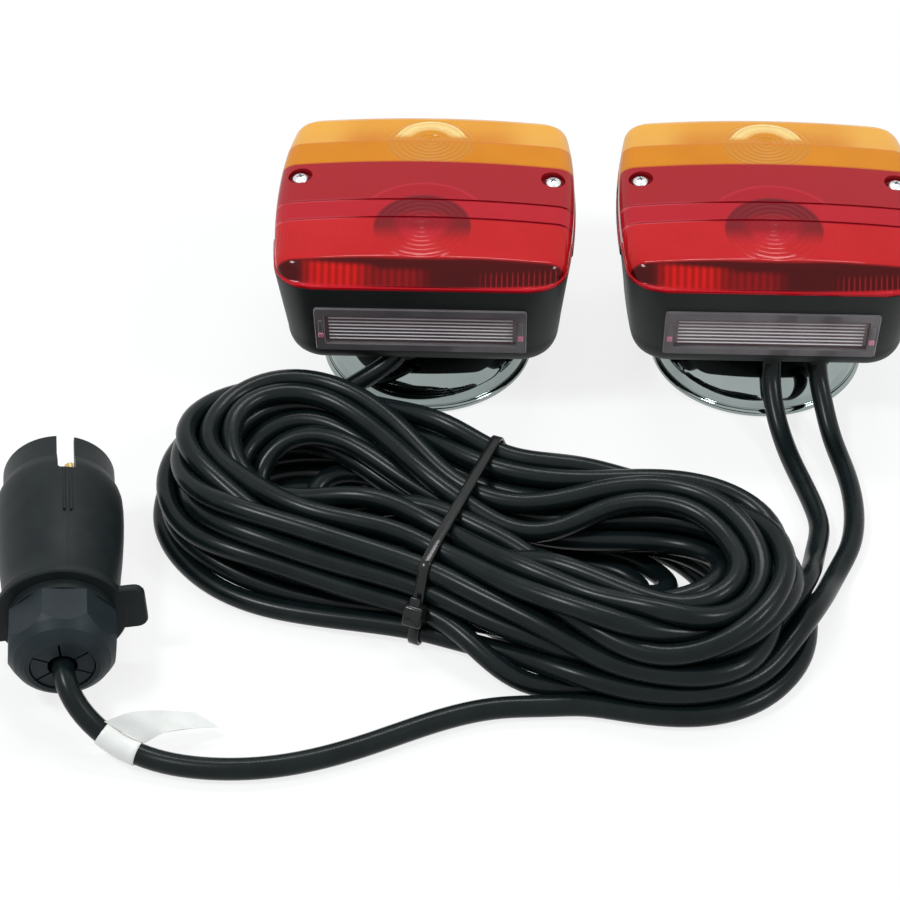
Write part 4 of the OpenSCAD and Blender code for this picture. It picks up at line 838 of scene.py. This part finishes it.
def lens(side, name, look, near, far, node):
    """Lens moulding between two places along y: its outer and inner sheets and the stepped rim that joins them."""
    rows = np.arange(round((far - near) / LENS_ROW) + 1)
    ys = near + rows * (far - near) / rows[-1]
    extra = [line + half + nick for line in LINES_Y for half in (-LINE_HALF, LINE_HALF) for nick in (-0.04, 0.04)]
    extra += [RIM_Y - 0.02, RIM_Y + 0.02] + list(FALL_Y)
    ys = np.unique(np.round(np.r_[ys, [v for v in extra if near < v < far]], 3))
    ys = ys[np.r_[True, np.diff(ys) > 0.03]]
    steps = np.array([0, 0.2, 0.6, 1.2, 2, 3, 4.4])
    share = np.linspace(-1, 1, 61)

    def sheet(inset):
        y = np.clip(ys, -LENS_H / 2 + inset, LENS_H / 2 - inset)[:, None]
        w = half_width(y, inset)
        x = np.hstack([-(w - steps), share * (w - SHOULDER), (w - steps)[:, ::-1]])
        z = lens_height(x, y, w) - (LENS_WALL if inset else 0)
        z = np.maximum(z, np.where(y < RIM_Y, RIM_Z, SIDE_RIM_Z) + (0.4 if inset else 1.3))
        return np.stack([x, np.broadcast_to(y, x.shape), z], -1)

    outer, inner = sheet(0.0), sheet(LENS_WALL)
    nr, nc = outer.shape[:2]
    quads, loop = patch(nr, nc)
    row, col = loop // nc, loop % nc
    cut = (abs(near - PARTING_Y) < 0.1) & (row == 0) | (abs(far - PARTING_Y) < 0.1) & (row == nr - 1)
    open_edge = (cut & (col > 0) & (col < nc - 1))[:, None]
    po, pi = outer.reshape(-1, 3)[loop], inner.reshape(-1, 3)[loop]
    base = np.where(po[:, 1] < RIM_Y, RIM_Z, SIDE_RIM_Z)
    away = po * [1, 1, 0]
    box = np.array([LENS_W / 2 - CORNER, LENS_H / 2 - CORNER])
    away[:, :2] -= np.clip(away[:, :2], -box, box)
    away /= np.maximum(np.linalg.norm(away, axis=1), 1e-6)[:, None]
    levels = [po]
    for rise, out in ((1.25, 0), (1.05, 0.42), (0.2, 0.5), (0.0, 0.4)):
        p = po + away * out
        p[:, 2] = np.minimum(base + rise, po[:, 2])
        levels.append(np.where(open_edge, po, p))
    p = pi.copy()
    p[:, 2] = np.minimum(base, pi[:, 2])
    levels += [np.where(open_edge, pi, p), pi]
    points = [outer.reshape(-1, 3), inner.reshape(-1, 3)] + levels[1:-1]
    n, m = nr * nc, len(loop)
    rings = [loop] + [2 * n + k * m + np.arange(m) for k in range(len(levels) - 2)] + [loop + n]
    faces = quads.tolist() + (quads[:, ::-1] + n).tolist()
    for a, b in zip(rings[:-1], rings[1:]):
        faces += np.stack([a, b, np.roll(b, -1), np.roll(a, -1)], -1).tolist()
    piece = mesh_piece(name, at_lamp(side, np.vstack(points)), faces, slot=look, replaces=(node,))
    tidy(piece)
    if look == "red_lens":
        for x in (-SCREW_X, SCREW_X):
            carve(piece, post(side, x, SCREW_Y, POCKET_R, 60, 80))
        tidy(piece, 0.002)
    mark_places(piece, side)
    finish_with(piece, look)


def pocket(side, name, x):
    """Cup under the face in which a lens screw sits."""
    r, wall, mouth = POCKET_R, 1.2, LENS_TOP - ARCH * (SCREW_X / ARCH_HALF) ** 2 - 0.5
    profile = [(1.9, POCKET_Z - 1.6), (r + wall, POCKET_Z - 1.6), (r + wall, mouth - 1.2), (r + 0.5, mouth - 0.5),
               (r, mouth - 0.6), (r, POCKET_Z + 0.4), (r - 0.4, POCKET_Z), (1.9, POCKET_Z)]
    mark_places(dressed(name, *on_lamp(side, revolved(profile, 48, (x, SCREW_Y))), "red_lens"), side)


def screw(side, x, turn):
    """Lens screw: a low round head with a cross recess, and its shank."""
    head = [(3.2 * math.cos(a), POCKET_Z + 1.1 + 1.9 * math.sin(a)) for a in np.radians(np.arange(0, 88, 7))]
    profile = [(0.01, 36), (1.7, 36), (1.7, POCKET_Z), (3.2, POCKET_Z)] + head + [(0.01, POCKET_Z + 3.0)]
    piece = mesh_piece("screw", *on_lamp(side, revolved(profile, 40, (x, SCREW_Y))), ride=False)
    tidy(piece)
    arm = np.array([(1.9, 0.14), (1.2, 0.42), (-1.2, 0.42), (-1.9, 0.14), (-1.9, -0.14), (-1.2, -0.42), (1.2, -0.42),
                    (1.9, -0.14)])
    for a in (turn, turn + math.pi / 2):
        c, s = math.cos(a), math.sin(a)
        plan = np.stack([arm[:, 0] * c - arm[:, 1] * s, arm[:, 0] * s + arm[:, 1] * c], 1)
        cross = layered([(plan * 0.5 + (x, SCREW_Y), POCKET_Z + 1.3), (plan + (x, SCREW_Y), POCKET_Z + 4)])
        carve(piece, mesh_piece("cross", *on_lamp(side, cross), ride=False))
    tidy(piece, 0.002)
    return piece


def screws(side, word):
    """Both lens screws of a lamp, joined in one piece."""
    joined = bmesh.new()
    for x, turn in ((-SCREW_X, 0.35), (SCREW_X, 1.05)):
        piece = screw(side, x, turn)
        joined.from_mesh(piece.data)
        bpy.data.objects.remove(piece)
    piece = dressed(word + "_cross_screws", [(0, 0, 0)], [], "zinc_steel", reach=0, replaces=(word + "_lens_screws",))
    joined.to_mesh(piece.data)
    joined.free()


def disc(side, name, look, at, radius, top, rings):
    """Round optic: a disc of stepped rings with a soft edge."""
    profile = [(0.01, top - 2.4), (radius - 1, top - 2.4), (radius, top - 1.6), (radius, top - 0.5),
               (radius - 0.25, top - 0.12), (radius - 0.7, top)]
    for k in range(rings, 0, -1):
        r = (radius - 1.4) * k / rings
        profile += [(r, top - 0.02), (r - 0.3, top - 0.3)]
    solid = revolved(profile + [(0.01, top - 0.2)], 96, at)
    mark_places(dressed(name, *on_lamp(side, solid), look, sharp=25), side)


def body_ring(inset, low_inset):
    """Housing's outline: half-sizes drawn in by an inset, with round corners and bowed sides."""
    w, h, r = BODY_W / 2 - inset, BODY_H / 2 - inset, CORNER + 0.6 - low_inset
    bow, lean, turn_y, cx = bowed(w, h, r)
    cy = h - r
    arc = np.linspace(lean, math.pi / 2, 12)
    right = [(w - bow * y * y, y) for y in np.r_[np.linspace(-turn_y, RIM_Y - 0.01, 4)[:-1], RIM_Y - 0.01,
                                                 RIM_Y + 0.01, np.linspace(RIM_Y + 0.01, turn_y, 11)[1:]]]
    corner = [(cx + r * math.cos(a), cy + r * math.sin(a)) for a in arc[1:]]
    flat = min(OPEN_W / 2, cx)
    far = [(x, h) for x in np.linspace(cx, -cx, 9)[1:-1]]
    near = [(x, -h) for x in np.r_[-flat, np.linspace(-flat, flat, 13)[1:-1], flat]]
    mirrored = [(-x, y) for x, y in reversed(right)]
    return np.array(right + corner + far + [(-x, y) for x, y in reversed(corner)] + mirrored
                    + [(-x, -y) for x, y in corner] + near + [(x, -y) for x, y in reversed(corner)])


def body(side, name, node):
    """Housing: a shell with a soft foot, a stepped rim and the window's opening in its near wall."""
    open_low, open_high = WINDOW_Z - OPEN_H / 2, WINDOW_Z + OPEN_H / 2
    heights = [0.0] + [FOOT * (1 - math.cos(a)) for a in np.linspace(0, math.pi / 2, 9)[1:]]
    heights += [open_high - REAR_Z, 31.0, RIM_Z - REAR_Z]
    heights = sorted(set(round(h, 3) for h in heights + [open_low - REAR_Z]))

    def wall(inset, floor):
        rings = []
        for h in heights:
            soft = 3.8 * (1 - math.sqrt(1 - max(0, 1 - h / FOOT) ** 2))
            lean = DRAFT / 2 * (1 - max(h - FOOT, 0) / (RIM_Z - REAR_Z - FOOT))
            ring = body_ring(inset + soft + lean, inset + soft)
            z = np.full(len(ring), max(REAR_Z + h, floor))
            z = np.minimum(z, np.where(ring[:, 1] < RIM_Y, RIM_Z, SIDE_RIM_Z))
            rings.append(np.c_[ring, z])
        return rings

    outer, inner = wall(0, REAR_Z), wall(BODY_WALL, REAR_Z + BODY_WALL)
    m, k = len(outer[0]), len(heights)
    points = np.vstack(outer + inner)
    low, high = heights.index(round(open_low - REAR_Z, 3)), heights.index(round(open_high - REAR_Z, 3))
    hole = [j for j in range(m) if all(abs(outer[low][i % m][0]) < OPEN_W / 2 + 0.01 and outer[low][i % m][1] < 0
                                       for i in (j, j + 1))]
    q = k * m
    sides = [f for f in grid(k, m)[:-2] if not (low <= f[0] // m < high and f[0] % m in hole)]
    edges = [((k - 1) * m + j, (k - 1) * m + (j + 1) % m) for j in range(m)]
    edges += [(i * m + j, i * m + (j + 1) % m) for i in (low, high) for j in hole]
    edges += [(i * m + j, (i + 1) * m + j) for i in range(low, high) for j in (hole[0], (hole[-1] + 1) % m)]
    faces = sides + [(q + a, q + d, q + c, q + b) for a, b, c, d in sides]
    faces += [(a, b, q + b, q + a) for a, b in edges]
    faces += [tuple(range(m - 1, -1, -1)), tuple(range(q, q + m))]
    piece = mesh_piece(name, at_lamp(side, points), faces, slot="black_plastic", replaces=(node,))
    tidy(piece, 0.005)
    for x in ENTRIES[side]:
        carve(piece, post(side, x, ENTRY_Y, 4.4, REAR_Z - 3, REAR_Z + 5))
    carve(piece, post(side, 0, MAGNET_Y, BOLT_R, REAR_Z - 3, REAR_Z + 5))
    tidy(piece, 0.002)
    finish_with(piece, "black_plastic")


TILT = math.atan(DRAFT / 2 / (RIM_Z - REAR_Z - FOOT))


def on_wall(side, points):
    """Places points (along, up, out) on the slanting near wall round the window's middle."""
    p = np.asarray(points, float)
    up = p[:, 1] + (WINDOW_Z - REAR_Z - FOOT) / math.cos(TILT)
    y = -(BODY_H - DRAFT) / 2 - up * math.sin(TILT) - p[:, 2] * math.cos(TILT)
    z = REAR_Z + FOOT + up * math.cos(TILT) - p[:, 2] * math.sin(TILT)
    return at_lamp(side, np.c_[p[:, 0], y, z])


def window(side, word):
    """Clear number plate window: a frame, a pane set back in it with ribs, and a clip and a tab at each end."""
    w, h = WINDOW_W, WINDOW_H

    def fitted(name, solid, look, at=(0, 0), **kw):
        points = np.array(solid[0], float) + (*at, 0)
        dressed(f"{word}_window_{name}", on_wall(side, points), solid[1], look, "clear_window", 0.005, 25, **kw)

    fitted("frame", stepped(w, h, [(0, 1.2, -0.8), (0, 1.2, 0.5), (0.6, 1.0, 0.8), (6.6, 0.8, 0.8), (7.2, 0.7, 0.5),
                                   (7.2, 0.7, -0.8)], close=False),
           "clear_window", replaces=(word + "_plate_window",))
    fitted("pane", stepped(w, h, [(7.1, 0.7, -2.0), (7.1, 0.7, -0.5)]), "window_pane")
    points, faces = [], []
    for i in range(7):
        up, n = -5.4 + i * 1.75, len(points)
        for x in (-33, 33):
            points += [(x, up - 0.22, -0.55), (x, up + 0.22, -0.55), (x, up + 0.12, -0.12), (x, up - 0.12, -0.12)]
        faces += [[n + j for j in face] for face in grid(2, 4)]
    # The ribs wear the pale window_ribs look, a painted highlight.
    fitted("ribs", (points, faces), "window_ribs")
    for x, end in ((-35.9, "a"), (35.9, "b")):
        fitted("clip_" + end, stepped(1.7, 9, [(0, 0.4, -1.2), (0, 0.4, 0.9), ((0.6, 0.8), 0.3, 1.15)]),
               "clear_window", (x, 0.5))
        fitted("tab_" + end, stepped(1.9, 2.6, [(0, 0.5, -1.0), (0, 0.5, 1.2), (0.6, 0.4, 1.45)]),
               "pink_tab", (x, -2.6))


for side, word in LAMPS:
    cup(side, word)
for side, word in LAMPS:
    body(side, word + "_housing_moulding", word + "_housing")
    lens(side, word + "_red_lens_moulding", "red_lens", -LENS_H / 2, PARTING_Y, word + "_red_lens")
    lens(side, word + "_amber_lens_moulding", "amber_lens", PARTING_Y, LENS_H / 2, word + "_amber_lens")
    for x, end in ((-SCREW_X, "a"), (SCREW_X, "b")):
        pocket(side, f"{word}_screw_pocket_{end}", x)
    screws(side, word)
    disc(side, word + "_indicator_optic", "amber_lens", INDICATOR_AT, DISC_R, LENS_TOP - 1.1, 5)
    window(side, word)

# ---------------------------------------------------------------- tie and label

# The label's sheet: the near and the far end of each place along it
LABEL = [
    ((-165.4, -201.6, 13), (-152.8, -206.3, 7.8)),
    ((-157, -200, 15.4), (-145.9, -204.5, 10.8)),
    ((-147.2, -198.2, 14), (-138.3, -200.8, 8)),
    ((-137, -196, 10), (-130.3, -197.9, 5)),
]
LABEL_T, LABEL_FROM, LABEL_TO, LABEL_CUT = 0.4, 6, 8, 3
TIE_W, TIE_HEAD, TIE_HEAD_Z = 3.6, (7.0, 7.5, 5.4), 14.0


def strands_at(u):
    """Where the cables cross the upright plane at u along the hank, as offsets across it and heights."""
    found = []
    for path in (main_path, link_path):
        d = (path[:, :2] - HANK_LEFT) @ ALONG - u
        near = abs((path[:, :2] - HANK_LEFT) @ ACROSS) < 60
        i = np.nonzero((d[:-1] * d[1:] <= 0) & near[:-1] & near[1:] & (path[:-1, 1] > -185))[0]
        t = (d[i] / (d[i] - d[i + 1]))[:, None]
        q = path[i] * (1 - t) + path[i + 1] * t
        found.append(np.stack([(q[:, :2] - HANK_LEFT) @ ACROSS, q[:, 2]], 1))
    return np.vstack(found)


def across_hank(u, v, z):
    """Places points given along and across the hank."""
    p = HANK_LEFT + np.multiply.outer(u, ALONG) + np.multiply.outer(v, ACROSS)
    return np.concatenate([p, np.asarray(z)[..., None]], -1)


def tie():
    """Strap drawn tight round the cables as they lie, its head and the cut end of its tail."""
    strands = np.vstack([strands_at(TIE_U + side * TIE_W / 2) for side in (-1, 0, 1)])
    strands[:, 1] = np.maximum(strands[:, 1], CABLE_R + TIE_T + 0.1)
    turn = np.radians(np.arange(0, 360, 3))
    out = np.stack([np.cos(turn), np.sin(turn)], 1)
    hold = strands[np.argmax(strands @ out.T, axis=0)]
    inner = hold + CABLE_R * out
    section = [(-1, 0.25), (-0.86, 0), (0.86, 0), (1, 0.25), (1, 0.95), (0.86, TIE_T), (-0.86, TIE_T), (-1, 0.95)]
    rings = [across_hank(np.full(len(turn), TIE_U + a * TIE_W / 2), *(inner + b * out).T) for a, b in section]
    n = len(turn)
    dressed("tie_strap", np.stack(rings, 1).reshape(-1, 3), grid(n, len(section), shut=True), "tie_plastic",
            reach=0.002, sharp=50, replaces=("cable_tie",))
    after = np.roll(inner, -1, 0)
    near = np.nonzero((out[:, 0] < -0.3) & (inner[:, 1] >= TIE_HEAD_Z) & (after[:, 1] < TIE_HEAD_Z))[0]
    i = near[0] if len(near) else int(np.argmin(inner[:, 0]))
    a, b = inner[i], after[i]
    share = np.clip((a[1] - TIE_HEAD_Z) / max(a[1] - b[1], 1e-6), 0, 1)
    foot = a + (b - a) * share
    up = (a - b) / np.linalg.norm(a - b)
    away = np.array([-up[1], up[0]])
    away *= np.sign(away @ out[i])

    def on_side(name, solid, lift=None):
        x, y, z = np.array(solid[0], float).T
        if lift:
            y, z = z, y + lift
        v, high = foot[:, None] + np.outer(up, y) + np.outer(away, z)
        dressed(name, across_hank(TIE_U + x, v, high), solid[1], "tie_plastic", reach=0.002, sharp=40)

    w, h, t = TIE_HEAD
    on_side("tie_head", stepped(w, h, [(1, 0.8, 0.1), (0, 1.1, 0.6), (0, 1.1, t - 1.2), (0.8, 0.9, t - 0.4),
                                       (2, 0.7, t)]))
    on_side("tie_tail", stepped(TIE_W, TIE_T, [(0, 0.3, h / 2 - 1), (0, 0.3, h / 2 + 2.3), (0.4, 0.2, h / 2 + 2.6)]),
            t - 2.0)


def label():
    """Thin sheet folded round the plug's cable, its flag standing off with a soft curl."""
    first, last = (curve_through([pair[k] for pair in LABEL], 8)[:, None] for k in (0, 1))
    n, m = len(first), 9
    share = np.linspace(0, 1, m)[None, :, None]
    sheet = first * (1 - share) + last * share
    normal = np.cross(np.gradient(sheet, axis=0), np.gradient(sheet, axis=1))
    normal /= np.maximum(np.linalg.norm(normal, axis=2, keepdims=True), 1e-9)
    curl = 0.5 * np.sin(np.linspace(0, 1, n) * 5)[:, None, None] * (share - 0.5)
    sheet = sheet + curl * normal
    half = LABEL_T / 2 * normal
    points = np.concatenate([(sheet + half).reshape(-1, 3), (sheet - half).reshape(-1, 3)])
    quads, rim = patch(n, m)
    faces = quads.tolist() + (quads[:, ::-1] + n * m).tolist()
    faces += [(a, b, n * m + b, n * m + a) for a, b in zip(rim, np.roll(rim, -1))]
    dressed("label_flag", points, faces, "label_film", reach=0.002, sharp=40, replaces=("cable_label",))
    route = curve_through(PLUG_ROUTE[LABEL_FROM:LABEL_TO + 1], 8)[:-LABEL_CUT]
    finish_with(tube("label_band", route, CABLE_R + LABEL_T, sides=28, slot="label_film"), "label_film")


tie()
label()

# ---------------------------------------------------------------- plug

PLUG_R, MOUTH_R, KEY_TURN, KEY_W, KEY_L = 21.5, 19.0, math.radians(14), 6.0, 18.2
PLUG_SIDE = [(MOUTH_R - 0.6, 0), (MOUTH_R - 0.15, 0.15), (MOUTH_R, 0.6), (MOUTH_R, 9.5), (MOUTH_R + 0.35, 10.0),
             (PLUG_R - 1.3, 12.3), (PLUG_R - 0.7, 13.8), (PLUG_R - 0.2, 16), (PLUG_R, 20), (PLUG_R - 0.05, 26),
             (PLUG_R - 0.3, 32), (PLUG_R - 0.7, 38), (PLUG_R - 1.2, 44), (PLUG_R - 1.85, 50), (PLUG_R - 2.35, 56),
             (PLUG_R - 2.6, 63.2)]
PLUG_BACK = [(PLUG_R - 2.4, 63.8), (PLUG_R - 0.5, 64), (PLUG_R, 64.5), (PLUG_R, 66.5), (PLUG_R - 0.5, 67),
             (17.5, 67), (17.5, 70.5), (13.5, 70.5), (13.5, 80), (10.3, 80), (10.3, 58), (15.6, 52), (15.6, 31),
             (16.6, 31), (16.6, 0.5), (17.1, 0)]


def plug():
    """Plug body: a turned casing with its key slot, two ribs and a seam behind it, and the collar's ears."""
    points, faces = revolved(PLUG_SIDE + PLUG_BACK, 128)
    casing = mesh_piece("plug_body_moulding", at_plug(points), faces, slot="plug_plastic", replaces=("plug_body",))
    tidy(casing)

    def carved(name, solid, place, turn=0.0, operation="UNION"):
        points, faces = solid
        piece = mesh_piece(name, at_plug([place(*p) for p in points], turn), faces, ride=False)
        tidy(piece)
        carve(casing, piece, operation)

    slot = ring_of(KEY_W, 40, 1.0)
    carved("slot", layered([(slot, 14.0), (slot, 26.0)]), lambda x, y, z: (x, z, y + KEY_L - 20), KEY_TURN,
           "DIFFERENCE")
    for side in (-1, 1):
        ear = stepped(12, 18, [(0.8, 3.1, 64.15), (0, 3.5, 64.75), (0, 3.5, 66.25), (0.8, 3.1, 66.85)])
        carved("ear", ear, lambda x, y, z: (x + side * 21.5, y, z))
        rib = stepped(0.9, 20, [(0, 0.4, PLUG_R - 1.6), (0, 0.4, PLUG_R + 0.1), ((0.4, 0.5), 0.2, PLUG_R + 0.28)])
        carved("rib", rib, lambda x, y, z: (x + side * 1.1, z, y + 28.5), KEY_TURN)
    tidy(casing, 0.003)
    keep_whole(casing)
    along = np.arange(38, 63.2, 1.5)
    radius = np.interp(along, [z for r, z in PLUG_SIDE], [r for r, z in PLUG_SIDE])
    seam = [([(x, r + up) for x, up in ((-0.3, -0.3), (-0.2, 0.18), (0.2, 0.18), (0.3, -0.3))], z)
            for r, z in zip(radius, along)]
    points, faces = layered(seam)
    dressed("plug_seam", at_plug(points, KEY_TURN), faces, "plug_plastic")
    finish_with(casing, "plug_plastic")
    return casing


plug_casing = plug()

# ---------------------------------------------------------------- light and floor


def area(name, place, aim, size, power, tint=(1, 1, 1)):
    data = bpy.data.lights.new(name, "AREA")
    data.shape = "RECTANGLE"
    data.size, data.size_y = size
    data.energy = power
    data.color = tint
    lamp = bpy.data.objects.new(name, data)
    way = Vector(aim) - Vector(place)
    lamp.matrix_world = Matrix.Translation(place) @ way.to_track_quat("-Z", "Y").to_matrix().to_4x4()
    bpy.context.scene.collection.objects.link(lamp)


def emptied(block):
    block.use_nodes = True
    block.node_tree.nodes.clear()
    return block.node_tree


def show(tree, lit, seen, kind, share=None):
    """Shows one shader to the camera, plainly or in metal or glass, and lights with the other."""
    path = add_node(tree, "LightPath").outputs
    direct = path["Is Camera Ray"]
    for name in ("Is Glossy Ray", "Is Transmission Ray"):
        direct = add_node(tree, "Math", (direct, path[name]), operation="MAXIMUM").outputs[0]
    if share:
        direct = add_node(tree, "Math", (direct, share), operation="MULTIPLY").outputs[0]
    mix = add_node(tree, "MixShader", (direct, lit.outputs[0], seen.outputs[0]))
    add_node(tree, "Output" + kind, (mix.outputs[0],))


def set_world():
    world = bpy.data.worlds.new("studio")
    bpy.context.scene.world = world
    tree = emptied(world)
    lit = add_node(tree, "Background", ((0.93, 0.97, 1, 1), 0.42))
    show(tree, lit, add_node(tree, "Background", ((1, 1, 1, 1), 1.0)), "World")


def add_floor():
    size = 8000
    floor = mesh_piece("floor", [(-size, -size, 0), (size, -size, 0), (size, size, 0), (-size, size, 0)],
                       [(0, 1, 2, 3)], ride=False)
    made = bpy.data.materials.new("floor")
    tree = emptied(made)
    lit = add_node(tree, "BsdfDiffuse", ((0.86, 0.86, 0.86, 1),))
    show(tree, lit, add_node(tree, "Emission", (None, 1.0)), "Material", 0.8)
    floor.data.materials.append(made)


set_world()
add_floor()
area("key", (-0.75, -0.35, 1.35), (-0.05, -0.08, 0), (0.34, 0.2), 11, (0.94, 0.98, 1))
area("fill", (0.95, -0.45, 1.1), (0, -0.05, 0), (0.3, 0.2), 6, (0.94, 0.98, 1))
area("top", (0.05, 0.55, 1.3), (0, 0, 0), (0.8, 0.18), 8)
bpy.context.scene.view_settings.view_transform = "Standard"
